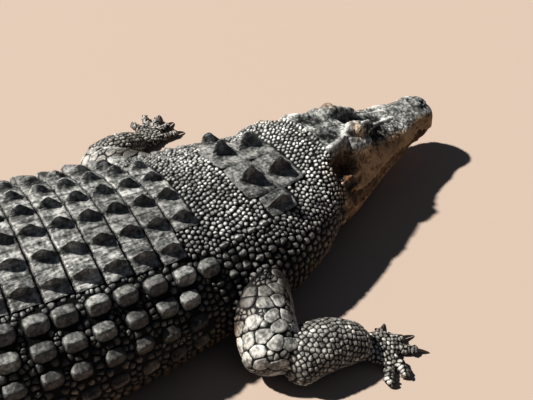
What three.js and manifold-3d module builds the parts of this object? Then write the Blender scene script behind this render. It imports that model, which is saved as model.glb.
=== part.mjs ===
// A large adult saltwater crocodile, lying at rest: belly, tail and feet on the floor, head held just clear of it,
// chin down, and the whole body in a slow bend to its left.
//
// Millimetres. The animal faces -Y, its left side is +X and up is +Z. The origin is on the floor under the belly.
// Places on the animal are given in head lengths, the measure by which crocodiles are compared: "s" runs back from
// the snout tip along the spine (1 at the back of the skull, about 7.1 at the tail tip), "side" is out from the
// spine (+ left, - right) and heights are above the floor.

import * as THREE from "three";
import { mergeVertices } from "three/addons/utils/BufferGeometryUtils.js";
import Module from "manifold-3d";

const wasm = await Module();
wasm.setup();

// ---------------------------------------------------------------- driving dimensions
const HEAD_LENGTH = 630; // snout tip to the back of the skull
const TOTAL_LENGTH = 7.14; // head lengths, snout to tail tip along the spine
const TAIL_BASE = 3.6; // where the tail leaves the hips
const REST_POINT = 2.4; // the spine station over the origin, where the body points along -Y
const BODY_BEND = THREE.MathUtils.degToRad(7.465); // turn of the spine for each head length
const TAIL_SWEEP = THREE.MathUtils.degToRad(30); // extra turn at the middle of the tail
const CUT = 0.4; // gap between neighbouring pieces
const SCUTE_PITCH = 0.112; // one row of back scutes for each vertebra
const SCUTE_SPACING = 0.119; // from keel to keel across the back
const FIRST_SCUTE_ROW = 1.815;
const BACK_ROWS = 16;
const TAIL_WHORLS = 38;
const DOUBLE_CREST_WHORLS = 18; // the two crest rows of the tail meet after these

// The head, in its own frame: pitched and turned about the back of the skull.
const HEAD_PIVOT_HEIGHT = 0.489;
const HEAD_PITCH = THREE.MathUtils.degToRad(8.9);
const HEAD_TURN = THREE.MathUtils.degToRad(0.85);
const HEAD_ROLL = THREE.MathUtils.degToRad(-3.6);
const EYE_STATION = 0.752;
const EYE_SIDE = 0.102;
const EYE_LEVEL = 0.004;
const EYE_RADIUS = 0.033;

// Colours of the living animal.
const HIDE = { color: 0x6d6f68, roughness: 0.62, metalness: 0 };
const JAW_HIDE = { color: 0x6e573e, roughness: 0.6, metalness: 0 };
const EYE = { color: 0x6f7a2c, roughness: 0.08, metalness: 0 };
const CLAW = { color: 0x2b2622, roughness: 0.4, metalness: 0 };

const animal = new THREE.Group();

function addPiece(name, manifold, finish) {
  const { vertProperties, triVerts, numProp } = manifold.getMesh();
  const geometry = new THREE.BufferGeometry();
  const positions = new Float32Array((vertProperties.length / numProp) * 3);
  for (let i = 0; i < positions.length / 3; i++) {
    positions.set(vertProperties.subarray(i * numProp, i * numProp + 3), i * 3);
  }
  geometry.setAttribute("position", new THREE.BufferAttribute(positions, 3));
  geometry.setIndex(new THREE.BufferAttribute(new Uint32Array(triVerts), 1));
  geometry.computeVertexNormals();
  const mesh = new THREE.Mesh(geometry, new THREE.MeshStandardMaterial(finish));
  mesh.name = name;
  animal.add(mesh);
}

// ---------------------------------------------------------------- solids
function toSolid(geometry) {
  const bare = geometry.clone();
  bare.deleteAttribute("normal");
  bare.deleteAttribute("uv");
  const merged = mergeVertices(bare, 1e-3);
  const build = (triVerts) => new wasm.Manifold(new wasm.Mesh({
    numProp: 3,
    vertProperties: new Float32Array(merged.attributes.position.array),
    triVerts: new Uint32Array(triVerts),
  }));
  const solid = build(merged.index.array);
  return solid.volume() < 0 ? build(Array.from(merged.index.array).reverse()) : solid;
}

// A closed skin over a row of sections with the same number of corners each.
function loft(sections) {
  const corners = sections[0].length;
  const points = sections.flat();
  const index = [];
  for (let row = 0; row < sections.length - 1; row++) {
    for (let i = 0; i < corners; i++) {
      const a = row * corners + i;
      const b = row * corners + ((i + 1) % corners);
      index.push(a, b, a + corners, b, b + corners, a + corners);
    }
  }
  for (const [row, turned] of [[0, false], [sections.length - 1, true]]) {
    const centre = new THREE.Vector3();
    sections[row].forEach((point) => centre.addScaledVector(point, 1 / corners));
    points.push(centre);
    for (let i = 0; i < corners; i++) {
      const a = row * corners + i;
      const b = row * corners + ((i + 1) % corners);
      index.push(points.length - 1, ...(turned ? [a, b] : [b, a]));
    }
  }
  const geometry = new THREE.BufferGeometry().setFromPoints(points);
  geometry.setIndex(index);
  return toSolid(geometry);
}

function joined(solids) {
  return solids.reduce((whole, part) => whole.add(part));
}

// ---------------------------------------------------------------- curves and stations
// A smooth value between the rows of a small table whose first column is the station.
function valueAt(table, column, station) {
  const last = table.length - 1;
  if (station <= table[0][0]) return table[0][column];
  if (station >= table[last][0]) return table[last][column];
  const k = table.findIndex((row) => row[0] > station) - 1;
  const slope = (i) => {
    const low = table[Math.max(i - 1, 0)];
    const high = table[Math.min(i + 1, last)];
    return (high[column] - low[column]) / (high[0] - low[0]);
  };
  const [from, to] = [table[k], table[k + 1]];
  const span = to[0] - from[0];
  const t = (station - from[0]) / span;
  return (
    from[column] * (2 * t ** 3 - 3 * t ** 2 + 1) +
    to[column] * (3 * t ** 2 - 2 * t ** 3) +
    slope(k) * span * (t ** 3 - 2 * t ** 2 + t) +
    slope(k + 1) * span * (t ** 3 - t ** 2)
  );
}

// The way the animal faces at a station, as a turn to its left from -Y.
function heading(s) {
  const alongTail = THREE.MathUtils.clamp((s - TAIL_BASE) / (TOTAL_LENGTH - TAIL_BASE), 0, 1);
  return BODY_BEND * (REST_POINT - Math.min(s, TAIL_BASE)) - TAIL_SWEEP * Math.sin(Math.PI * alongTail) ** 2;
}

const SPINE_STEP = 0.01;
const spineTrack = [];
{
  const steps = Math.round((TOTAL_LENGTH + 0.5) / SPINE_STEP);
  const origin = new THREE.Vector2();
  const point = new THREE.Vector2();
  for (let i = 0; i <= steps; i++) {
    const s = i * SPINE_STEP;
    spineTrack.push(point.clone());
    if (Math.abs(s - REST_POINT) < SPINE_STEP / 2) origin.copy(point);
    const turn = heading(s + SPINE_STEP / 2);
    point.add(new THREE.Vector2(-Math.sin(turn), Math.cos(turn)).multiplyScalar(SPINE_STEP));
  }
  spineTrack.forEach((place) => place.sub(origin));
}

// A point of the animal from its station, its distance out from the spine and its height, in head lengths.
function place(s, side, height) {
  const along = Math.max(s, 0) / SPINE_STEP;
  const low = Math.min(Math.floor(along), spineTrack.length - 2);
  const point = spineTrack[low].clone().lerp(spineTrack[low + 1], along - low);
  const turn = heading(s);
  point.x += Math.cos(turn) * side;
  point.y += Math.sin(turn) * side;
  return new THREE.Vector3(point.x, point.y, height).multiplyScalar(HEAD_LENGTH);
}

// ---------------------------------------------------------------- trunk, neck and tail
// station, half width, top, bottom, height of the widest line
const BODY = [
  [0.9, 0.2, 0.4, 0.13, 0.26],
  [1.1, 0.37, 0.452, 0.07, 0.22],
  [1.3, 0.462, 0.468, 0.02, 0.19],
  [1.5, 0.51, 0.488, -0.012, 0.18],
  [1.9, 0.555, 0.53, -0.03, 0.17],
  [2.3, 0.602, 0.562, -0.03, 0.17],
  [2.7, 0.6, 0.578, -0.03, 0.175],
  [3.1, 0.52, 0.553, -0.03, 0.185],
  [3.4, 0.42, 0.505, -0.02, 0.19],
  [3.7, 0.335, 0.44, -0.02, 0.18],
  [4.2, 0.266, 0.375, -0.02, 0.155],
  [4.8, 0.2, 0.305, -0.015, 0.125],
  [5.5, 0.136, 0.225, -0.012, 0.09],
  [6.2, 0.08, 0.15, -0.008, 0.06],
  [6.8, 0.038, 0.085, -0.004, 0.035],
  [7.14, 0.01, 0.03, -0.002, 0.012],
];
const TOP_ROUNDNESS = 1.85; // 2 is an ellipse, more is squarer
const BOTTOM_ROUNDNESS = 3;
const BODY_CORNERS = 16;

// Corners of a rounded section, as [side, height] pairs.
function ring(corners, halfWidth, top, bottom, widest, topPower, bottomPower) {
  const points = [];
  for (let i = 0; i < corners; i++) {
    const angle = (2 * Math.PI * (i + 0.5)) / corners;
    const power = Math.sin(angle) > 0 ? topPower : bottomPower;
    const reach = (value) => Math.sign(value) * Math.abs(value) ** (2 / power);
    const half = Math.sin(angle) > 0 ? top - widest : widest - bottom;
    points.push([halfWidth * reach(Math.cos(angle)), widest + half * reach(Math.sin(angle))]);
  }
  return points;
}

function bodySolid(grow) {
  const margin = grow / HEAD_LENGTH;
  const stations = [];
  for (let s = BODY[0][0]; s < TOTAL_LENGTH - 0.1; s += s < TAIL_BASE ? 0.15 : 0.2) stations.push(s);
  stations.push(TOTAL_LENGTH);
  const sections = stations.map((s) => {
    const [, halfWidth, top, bottom, widest] = [0, 1, 2, 3, 4].map((column) => valueAt(BODY, column, s));
    const outline = ring(BODY_CORNERS, halfWidth + margin, top + margin, bottom - margin, widest,
      TOP_ROUNDNESS, BOTTOM_ROUNDNESS);
    return outline.map(([side, height]) => place(s, side, height));
  });
  return loft(sections);
}

// The place and outward direction of the back's surface at a station and side.
function backSurface(s, side) {
  const [, halfWidth, top, , widest] = [0, 1, 2, 3, 4].map((column) => valueAt(BODY, column, s));
  const across = Math.min(Math.abs(side) / halfWidth, 0.98);
  const rise = (1 - across ** TOP_ROUNDNESS) ** (1 / TOP_ROUNDNESS);
  const fall = ((top - widest) / halfWidth) * (across / rise) ** (TOP_ROUNDNESS - 1) * Math.sign(side);
  const turn = heading(s);
  const normal = new THREE.Vector3(Math.cos(turn) * fall, Math.sin(turn) * fall, 1).normalize();
  return { point: place(s, side, widest + (top - widest) * rise), normal, turn };
}

// A keel: a low four-sided fin with its peak over the station given and most of its foot ahead of that.
const KEEL_SINK = 8; // mm
function keel(s, side, length, width, height, lean = 0.3) {
  const { point, normal, turn } = backSurface(s - lean * length, side);
  const back = new THREE.Vector3(-Math.sin(turn), Math.cos(turn), 0);
  const across = new THREE.Vector3().crossVectors(back, normal).normalize();
  const corner = (along, out, up) => point.clone()
    .addScaledVector(back, along * length * HEAD_LENGTH)
    .addScaledVector(across, out * width * HEAD_LENGTH)
    .addScaledVector(normal, up);
  const foot = [[-0.5, 0], [0, 0.5], [0.5, 0], [0, -0.5]].map(([along, out]) => corner(along, out, -KEEL_SINK));
  const peak = corner(lean, 0, height * HEAD_LENGTH);
  const geometry = new THREE.BufferGeometry().setFromPoints([...foot, peak]);
  geometry.setIndex([0, 1, 4, 1, 2, 4, 2, 3, 4, 3, 0, 4, 1, 0, 2, 3, 2, 0]);
  return toSolid(geometry);
}

// Back scutes: six keels across each band, fewer and closer together over the hips.
const KEEL_COLUMNS = [0.5, 1.5, 2.45];
const BACK_KEEL_LENGTH = 0.9 * SCUTE_PITCH;
function backKeels() {
  const keels = [];
  for (let row = 0; row < BACK_ROWS; row++) {
    const s = FIRST_SCUTE_ROW + row * SCUTE_PITCH;
    const narrowing = THREE.MathUtils.lerp(1, 0.72, Math.max(0, (row - 7) / (BACK_ROWS - 8)));
    KEEL_COLUMNS.forEach((column, k) => {
      const side = column * SCUTE_SPACING * narrowing;
      const height = 0.058 - 0.004 * k;
      if (row === 0 && k === 2) return; // the first band is four scutes wide
      for (const half of [1, -1]) keels.push(keel(s, half * side, BACK_KEEL_LENGTH, 0.085, height));
    });
  }
  return keels;
}

// The nuchal cluster on the neck: four tall keels in a square, with a smaller one on each side.
function neckKeels() {
  const keels = [];
  for (const half of [1, -1]) {
    keels.push(keel(1.275, half * 0.1, 0.15, 0.11, 0.07));
    keels.push(keel(1.415, half * 0.098, 0.15, 0.11, 0.07));
    keels.push(keel(1.385, half * 0.215, 0.12, 0.09, 0.055));
  }
  return keels;
}

// Tail crests: a double row of upright scutes that closes to a single row for the last half of the tail. The
// whorls of scales that carry them grow shorter towards the tip.
const FIRST_WHORL = 3.627;
const LAST_WHORL = 7.02;
function whorlStation(whorl) {
  const t = whorl / (TAIL_WHORLS - 1);
  return FIRST_WHORL + (LAST_WHORL - FIRST_WHORL) * (1.12 * t - 0.12 * t * t);
}

function tailKeels() {
  const keels = [];
  for (let whorl = 0; whorl < TAIL_WHORLS; whorl++) {
    const s = whorlStation(whorl);
    const length = 0.092 * (1 - (0.35 * whorl) / TAIL_WHORLS);
    if (whorl < DOUBLE_CREST_WHORLS) {
      const along = whorl / DOUBLE_CREST_WHORLS;
      const side = THREE.MathUtils.lerp(0.115, 0.03, along ** 0.8);
      const height = THREE.MathUtils.lerp(0.05, 0.1, along);
      for (const half of [1, -1]) keels.push(keel(s, half * side, length, 0.05, height, 0.45));
    } else {
      const along = (whorl - DOUBLE_CREST_WHORLS) / (TAIL_WHORLS - DOUBLE_CREST_WHORLS);
      keels.push(keel(s, 0, length * 1.05, 0.04 - 0.022 * along, 0.125 - 0.095 * along, 0.45));
    }
  }
  return keels;
}

// ---------------------------------------------------------------- head
// In the head's own frame x is left, y is back from the pivot and z is up, all in head lengths.
// station from the snout tip, half width, top, bottom, height of the widest line, squareness of the top
const HEAD_FORM = [
  [0.03, 0.034, -0.085, -0.15, -0.12, 2.2],
  [0.045, 0.078, -0.05, -0.185, -0.13, 2.6],
  [0.08, 0.112, -0.03, -0.205, -0.145, 2.8],
  [0.14, 0.124, -0.028, -0.225, -0.155, 2.8],
  [0.21, 0.121, -0.042, -0.242, -0.165, 2.8],
  [0.31, 0.152, -0.055, -0.268, -0.185, 2.8],
  [0.43, 0.182, -0.056, -0.298, -0.205, 2.6],
  [0.55, 0.216, -0.046, -0.332, -0.23, 2.3],
  [0.66, 0.252, -0.03, -0.366, -0.25, 2],
  [0.765, 0.288, -0.008, -0.392, -0.272, 1.85],
  [0.87, 0.32, 0, -0.41, -0.288, 1.9],
  [1.0, 0.348, -0.002, -0.42, -0.295, 2.1],
  [1.1, 0.355, -0.03, -0.42, -0.288, 2.1],
  [1.18, 0.31, -0.08, -0.4, -0.275, 2],
];
const HEAD_CORNERS = 16;
const HEAD_BOTTOM_ROUNDNESS = 3.6;
const HEAD_SECTIONS = 15;

const headFrame = new THREE.Matrix4()
  .makeTranslation(place(1, 0, HEAD_PIVOT_HEIGHT))
  .multiply(new THREE.Matrix4().makeRotationZ(heading(1) + HEAD_TURN))
  .multiply(new THREE.Matrix4().makeRotationX(HEAD_PITCH))
  .multiply(new THREE.Matrix4().makeRotationY(HEAD_ROLL));

function onHead(station, side, height) {
  return new THREE.Vector3(side, station - 1, height).multiplyScalar(HEAD_LENGTH).applyMatrix4(headFrame);
}

// A rounded lump of the head, such as a brow.
const LUMP_SIDES = 7;
function headLump(station, side, height, length, width, rise) {
  const lump = new THREE.SphereGeometry(HEAD_LENGTH, LUMP_SIDES, 5);
  lump.scale(width, length, rise);
  lump.translate(side * HEAD_LENGTH, (station - 1) * HEAD_LENGTH, height * HEAD_LENGTH);
  return toSolid(lump.applyMatrix4(headFrame));
}

function eyeball(side, grow) {
  const ball = new THREE.IcosahedronGeometry(EYE_RADIUS * HEAD_LENGTH + grow, 1);
  ball.deleteAttribute("uv");
  ball.deleteAttribute("normal");
  ball.translate(side * EYE_SIDE * HEAD_LENGTH, (EYE_STATION - 1) * HEAD_LENGTH, EYE_LEVEL * HEAD_LENGTH);
  return toSolid(ball.applyMatrix4(headFrame));
}

function headSolid() {
  const first = HEAD_FORM[0][0];
  const last = HEAD_FORM[HEAD_FORM.length - 1][0];
  const sections = [];
  for (let step = 0; step <= HEAD_SECTIONS; step++) {
    const station = first + (last - first) * (step / HEAD_SECTIONS) ** 1.3;
    const [halfWidth, top, bottom, widest, squareness] = [1, 2, 3, 4, 5]
      .map((column) => valueAt(HEAD_FORM, column, station));
    const outline = ring(HEAD_CORNERS, halfWidth, top, bottom, widest, squareness, HEAD_BOTTOM_ROUNDNESS);
    sections.push(outline.map(([side, height]) => onHead(station, side, height)));
  }
  const lumps = [headLump(0.115, 0, -0.042, 0.06, 0.055, 0.034)];
  for (const half of [1, -1]) {
    lumps.push(headLump(EYE_STATION, half * 0.082, 0, 0.085, 0.05, 0.042)); // brow over the eye
    lumps.push(headLump(0.965, half * 0.145, -0.014, 0.06, 0.035, 0.026)); // corner of the skull table
  }
  return joined([loft(sections), ...lumps]);
}

// The line of the closed mouth, as [station, height], which rises behind the eye.
const MOUTH_LINE = [
  [-0.1, -0.135], [0.11, -0.145], [0.21, -0.13], [0.31, -0.165], [0.44, -0.158],
  [0.58, -0.178], [0.72, -0.205], [0.84, -0.2], [0.96, -0.17], [1.3, -0.15],
];
function belowMouth(lower) {
  const outline = new THREE.Shape();
  const depth = 0.9;
  const [first, last] = [MOUTH_LINE[0][0], MOUTH_LINE[MOUTH_LINE.length - 1][0]];
  outline.moveTo(first, -depth);
  for (let station = first; station <= last; station += 0.1) {
    outline.lineTo(station, valueAt(MOUTH_LINE, 1, station) - lower / HEAD_LENGTH);
  }
  outline.lineTo(last, -depth);
  const slab = new THREE.ExtrudeGeometry(outline, { depth: 1, bevelEnabled: false });
  // the outline is drawn as station and height, and is swept sideways
  const turned = new THREE.Matrix4().makeBasis(
    new THREE.Vector3(0, 1, 0), new THREE.Vector3(0, 0, 1), new THREE.Vector3(1, 0, 0));
  slab.applyMatrix4(turned);
  slab.translate(-0.5, -1, 0);
  slab.scale(HEAD_LENGTH, HEAD_LENGTH, HEAD_LENGTH);
  return toSolid(slab.applyMatrix4(headFrame));
}

// ---------------------------------------------------------------- legs and feet
// A length of leg: a rounded tube through stations of [s, side, height, half width, half depth].
const LEG_CORNERS = 10;
function limb(stations, grow, corners = LEG_CORNERS) {
  const centres = stations.map(([s, side, height]) => place(s, side, height));
  const curve = new THREE.CatmullRomCurve3(centres, false, "centripetal");
  const steps = stations.length + 1;
  const sections = [];
  for (let step = 0; step <= steps; step++) {
    // a round end closes the tube at both ends
    const t = (1 - Math.cos((Math.PI * step) / steps)) / 2;
    const closing = Math.sqrt(Math.max(0.06, 1 - Math.max(0, Math.abs(2 * t - 1) - 0.72) ** 2 / 0.28 ** 2));
    const at = t * (stations.length - 1);
    const k = Math.min(Math.floor(at), stations.length - 2);
    const size = (column) => THREE.MathUtils.lerp(stations[k][column], stations[k + 1][column], at - k);
    const forward = curve.getTangent(t);
    const out = new THREE.Vector3().crossVectors(forward, new THREE.Vector3(0, 0, 1)).normalize();
    const up = new THREE.Vector3().crossVectors(out, forward);
    const centre = curve.getPoint(t).addScaledVector(forward, (2 * t - 1) * grow);
    const halfWidth = size(3) * HEAD_LENGTH * closing + grow;
    const halfDepth = size(4) * HEAD_LENGTH * closing + grow;
    const section = [];
    for (let i = 0; i < corners; i++) {
      const angle = (2 * Math.PI * i) / corners;
      section.push(centre.clone()
        .addScaledVector(out, Math.cos(angle) * halfWidth)
        .addScaledVector(up, Math.sin(angle) * halfDepth));
    }
    sections.push(section);
  }
  return loft(sections);
}

// A digit from the palm to the root of its claw, flat under the sole.
const DIGIT_CORNERS = 6;
function digit(root, tip, thickness, grow = 0) {
  const [rootS, rootSide] = root;
  const [tipS, tipSide] = tip;
  const stations = [0, 0.6, 1].map((t) => [
    THREE.MathUtils.lerp(rootS, tipS, t),
    THREE.MathUtils.lerp(rootSide, tipSide, t),
    thickness * (0.95 - 0.25 * t),
    thickness * (1.1 - 0.3 * t),
    thickness * (1 - 0.22 * t),
  ]);
  return limb(stations, grow, DIGIT_CORNERS);
}

// A claw: a bent cone that leaves the digit's end and comes down to the floor.
const CLAW_LENGTH = 0.052;
const CLAW_CORNERS = 5;
function claw(root, tip, thickness) {
  const direction = new THREE.Vector2(tip[0] - root[0], tip[1] - root[1]).normalize();
  const sections = [];
  for (let step = 0; step <= 3; step++) {
    const t = step / 3;
    const reach = -0.014 + (CLAW_LENGTH + 0.014) * t;
    const centre = place(tip[0] + direction.x * reach, tip[1] + direction.y * reach,
      thickness * (0.72 - 0.1 * t) - 0.012 * t * t);
    const next = place(tip[0] + direction.x * (reach + 0.01), tip[1] + direction.y * (reach + 0.01),
      thickness * (0.72 - 0.1 * t) - 0.012 * t * t);
    const forward = next.sub(centre).normalize();
    const out = new THREE.Vector3().crossVectors(forward, new THREE.Vector3(0, 0, 1)).normalize();
    const half = HEAD_LENGTH * thickness * (0.52 * (1 - t) ** 0.8 + 0.05);
    const section = [];
    for (let i = 0; i < CLAW_CORNERS; i++) {
      const angle = (2 * Math.PI * i) / CLAW_CORNERS;
      section.push(centre.clone()
        .addScaledVector(out, Math.cos(angle) * half * 0.8)
        .addScaledVector(new THREE.Vector3(0, 0, 1), Math.sin(angle) * half));
    }
    sections.push(section);
  }
  return loft(sections);
}

// Each leg as [s, side, height, half width, half depth] from the body out, with the right side negative.
const LEGS = [
  {
    name: "foreleg_left", foot: "hand_left",
    upper: [[1.6, 0.42, 0.2, 0.1, 0.11], [1.72, 0.6, 0.175, 0.115, 0.115], [1.8, 0.78, 0.11, 0.105, 0.1]],
    lower: [[1.77, 0.8, 0.1, 0.1, 0.09], [1.58, 0.85, 0.1, 0.095, 0.085], [1.39, 0.92, 0.052, 0.066, 0.05]],
    palm: [[1.43, 0.91, 0.045, 0.06, 0.045], [1.33, 0.95, 0.028, 0.085, 0.034], [1.24, 0.985, 0.02, 0.08, 0.026]],
    digits: [
      [[1.29, 0.915], [1.115, 0.905]], [[1.26, 0.955], [1.105, 1.005]], [[1.245, 0.985], [1.12, 1.1]],
      [[1.26, 1.02], [1.19, 1.155]], [[1.3, 1.03], [1.315, 1.13]],
    ],
    digitThickness: 0.024,
  },
  {
    name: "foreleg_right", foot: "hand_right",
    upper: [[1.56, -0.4, 0.2, 0.11, 0.12], [1.685, -0.6, 0.185, 0.13, 0.125], [1.75, -0.8, 0.105, 0.115, 0.105]],
    lower: [[1.72, -0.79, 0.1, 0.11, 0.1], [1.54, -0.8, 0.115, 0.115, 0.11], [1.36, -0.86, 0.066, 0.084, 0.066]],
    palm: [[1.41, -0.86, 0.05, 0.065, 0.05], [1.32, -0.9, 0.03, 0.09, 0.036], [1.27, -0.945, 0.02, 0.085, 0.026]],
    digits: [
      [[1.31, -0.86], [1.245, -0.825]], [[1.28, -0.89], [1.2, -0.915]], [[1.27, -0.94], [1.205, -1.0]],
      [[1.3, -0.98], [1.33, -1.075]], [[1.34, -0.97], [1.41, -1.065]],
    ],
    digitThickness: 0.024,
  },
  {
    name: "hindleg_left", foot: "foot_left",
    upper: [[3.3, 0.3, 0.22, 0.13, 0.15], [3.12, 0.5, 0.2, 0.14, 0.14], [2.98, 0.7, 0.14, 0.11, 0.11]],
    lower: [[3.0, 0.72, 0.12, 0.11, 0.1], [3.2, 0.8, 0.1, 0.095, 0.085], [3.42, 0.84, 0.055, 0.068, 0.052]],
    palm: [[3.385, 0.84, 0.05, 0.055, 0.04], [3.34, 0.95, 0.03, 0.085, 0.036], [3.25, 1.04, 0.02, 0.09, 0.026]],
    digits: [
      [[3.24, 0.97], [3.08, 1.01]], [[3.22, 1.02], [3.06, 1.12]], [[3.24, 1.06], [3.1, 1.21]],
      [[3.28, 1.02], [3.21, 1.23]],
    ],
    digitThickness: 0.03,
  },
  {
    name: "hindleg_right", foot: "foot_right",
    upper: [[3.3, -0.3, 0.22, 0.13, 0.15], [3.14, -0.52, 0.2, 0.14, 0.14], [3.04, -0.72, 0.14, 0.11, 0.11]],
    lower: [[3.06, -0.73, 0.12, 0.11, 0.1], [3.27, -0.8, 0.1, 0.095, 0.085], [3.48, -0.83, 0.055, 0.068, 0.052]],
    palm: [[3.445, -0.83, 0.05, 0.055, 0.04], [3.41, -0.94, 0.03, 0.085, 0.036], [3.33, -1.03, 0.02, 0.09, 0.026]],
    digits: [
      [[3.32, -0.96], [3.16, -1.01]], [[3.3, -1.01], [3.15, -1.12]], [[3.32, -1.05], [3.2, -1.2]],
      [[3.36, -1.0], [3.3, -1.22]],
    ],
    digitThickness: 0.03,
  },
];

const CLAWED_DIGITS = 3; // the outer digits of every foot end without a claw

// ---------------------------------------------------------------- parting
// Cutting blocks reach past the hide by these, in head lengths.
const FLOOR_SPAN = 12;
const BLOCK_REACH = 0.85; // out to each side of the spine
const BLOCK_HEIGHT = 1.5;

// Everything below the floor, which leaves the belly, tail and soles flat where they rest.
function belowFloor() {
  const block = new THREE.BoxGeometry(FLOOR_SPAN, FLOOR_SPAN, 1).translate(0, 0, -0.5);
  return toSolid(block.scale(HEAD_LENGTH, HEAD_LENGTH, HEAD_LENGTH));
}

function raised(corners) {
  const outline = new THREE.Shape(corners.map((corner) => new THREE.Vector2(corner.x, corner.y)));
  return toSolid(new THREE.ExtrudeGeometry(outline, { depth: BLOCK_HEIGHT * HEAD_LENGTH, bevelEnabled: false }));
}

// A block that holds the body between two stations and leaves half of the parting cut at each end.
function between(from, to) {
  const halfCut = CUT / 2 / HEAD_LENGTH;
  const ahead = [-BLOCK_REACH, BLOCK_REACH].map((side) => place(from + halfCut, side, 0));
  const behind = [BLOCK_REACH, -BLOCK_REACH].map((side) => place(to - halfCut, side, 0));
  return raised([...ahead, ...behind]);
}

const JAW_HINGE = 1.1;
// The cuts run between the feet of neighbouring keels.
const afterRow = (row) => FIRST_SCUTE_ROW + (row + 0.23) * SCUTE_PITCH;
const afterWhorl = (whorl) => THREE.MathUtils.lerp(whorlStation(whorl), whorlStation(whorl + 1), 0.1);
const LENGTHS = [
  ["neck", JAW_HINGE, 1.6],
  ["trunk_chest", 1.6, afterRow(4)],
  ["trunk_belly", afterRow(4), afterRow(10)],
  ["trunk_hips", afterRow(10), afterRow(BACK_ROWS - 1)],
  ["tail_1", afterRow(BACK_ROWS - 1), afterWhorl(5)],
  ["tail_2", afterWhorl(5), afterWhorl(11)],
  ["tail_3", afterWhorl(11), afterWhorl(18)],
  ["tail_4", afterWhorl(18), afterWhorl(26)],
  ["tail_5", afterWhorl(26), TOTAL_LENGTH + 0.1],
];

const floor = belowFloor();
const flesh = joined([bodySolid(0), headSolid(), ...neckKeels(), ...backKeels(), ...tailKeels()]).subtract(floor);
const bodyKeepOut = bodySolid(CUT);

// The head block reaches past the snout, so it starts from a straight line ahead of it.
function headBlock() {
  const reach = 1.5 * HEAD_LENGTH;
  const [right, left] = [-BLOCK_REACH, BLOCK_REACH].map((side) => place(JAW_HINGE - CUT / 2 / HEAD_LENGTH, side, 0));
  const ahead = new THREE.Vector3(Math.sin(heading(1)), -Math.cos(heading(1)), 0).multiplyScalar(reach);
  return raised([right, left, left.clone().add(ahead), right.clone().add(ahead)]);
}

const head = flesh.intersect(headBlock());
const eyeSockets = joined([eyeball(1, CUT), eyeball(-1, CUT)]);
addPiece("skull", head.subtract(belowMouth(0)).subtract(eyeSockets), HIDE);
addPiece("lower_jaw", head.intersect(belowMouth(CUT)), JAW_HIDE);
addPiece("eye_left", eyeball(1, 0), EYE);
addPiece("eye_right", eyeball(-1, 0), EYE);
for (const [name, from, to] of LENGTHS) addPiece(name, flesh.intersect(between(from, to)), HIDE);

for (const leg of LEGS) {
  const upper = limb(leg.upper, 0);
  const lower = limb(leg.lower, 0);
  addPiece(`${leg.name}_upper`, upper.subtract(bodyKeepOut).subtract(floor), HIDE);
  addPiece(`${leg.name}_lower`, lower.subtract(limb(leg.upper, CUT)).subtract(bodyKeepOut).subtract(floor), HIDE);
  const claws = leg.digits.slice(0, CLAWED_DIGITS).map(([root, tip]) => claw(root, tip, leg.digitThickness));
  const digits = leg.digits.map(([root, tip]) => digit(root, tip, leg.digitThickness));
  const foot = joined([limb(leg.palm, 0), ...digits]).subtract(limb(leg.lower, CUT)).subtract(floor);
  addPiece(leg.foot, foot, HIDE);
  const footKeepOut = joined(leg.digits.map(([root, tip]) => digit(root, tip, leg.digitThickness, CUT)));
  claws.forEach((piece, k) => {
    addPiece(`claw_${leg.foot}_${k + 1}`, piece.subtract(footKeepOut).subtract(floor), CLAW);
  });
}

export default animal;
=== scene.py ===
# %% [markdown]
# # A life-size saltwater crocodile, lying at rest
#
# The animal is an adult of about 4.5 m, flat on its belly, bent in a slow curve to its left. Its packed
# solids are plain: they give the outline and the weight. This notebook makes what is seen, which is one
# hide without a seam, about seven thousand scales standing on it, the eyes with their lids, the teeth and
# the claws.
#
# Sizes are told in head lengths, the measure by which crocodiles are compared. "s" runs back along the
# spine from the snout tip (1 at the back of the skull, about 7.1 at the tail tip). The same stations were
# used for the solids, so the hide fits inside them by the depth of its scales.

# %% The frame
import math

import bmesh
import bpy
import numpy as np
from mathutils import Matrix
from mathutils.bvhtree import BVHTree
from mathutils.kdtree import KDTree


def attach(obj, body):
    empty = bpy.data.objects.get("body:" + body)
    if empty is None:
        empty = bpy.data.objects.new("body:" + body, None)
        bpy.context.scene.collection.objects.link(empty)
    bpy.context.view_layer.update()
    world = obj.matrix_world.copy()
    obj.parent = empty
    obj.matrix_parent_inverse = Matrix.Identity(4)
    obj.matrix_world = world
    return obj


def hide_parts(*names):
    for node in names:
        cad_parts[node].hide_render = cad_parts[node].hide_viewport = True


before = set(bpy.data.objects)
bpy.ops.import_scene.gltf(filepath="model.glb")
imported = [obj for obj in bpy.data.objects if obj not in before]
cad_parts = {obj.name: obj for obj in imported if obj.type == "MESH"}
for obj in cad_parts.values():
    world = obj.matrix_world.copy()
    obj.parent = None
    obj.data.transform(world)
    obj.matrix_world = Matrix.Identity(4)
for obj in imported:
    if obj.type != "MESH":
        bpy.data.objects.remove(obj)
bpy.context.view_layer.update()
scene = bpy.context.scene
chance = np.random.default_rng(7)

# %% [markdown]
# ## Two small tools
# Every colour below is written as the hex value that a colour picker shows, which is sRGB. Blender's
# shaders work in linear light, so one function turns the one into the other. A second function adds a node,
# sets its properties and fills its inputs, with a value, with a socket to link, or with a node, which
# stands for its first output. It serves materials and Geometry Nodes alike. Two more start a group and a
# material.

# %% Colours and nodes
# the kinds of node that are used most
MATH, VECTOR_MATH, MAP_RANGE = "ShaderNodeMath", "ShaderNodeVectorMath", "ShaderNodeMapRange"
NOISE, STORED = "ShaderNodeTexNoise", "GeometryNodeInputNamedAttribute"


def linear(hex_colour):
    """One sRGB hex colour as linear red, green, blue and alpha."""
    shares = [int(hex_colour[i:i + 2], 16) / 255 for i in (1, 3, 5)]
    return [v / 12.92 if v <= 0.04045 else ((v + 0.055) / 1.055) ** 2.4 for v in shares] + [1.0]


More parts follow.
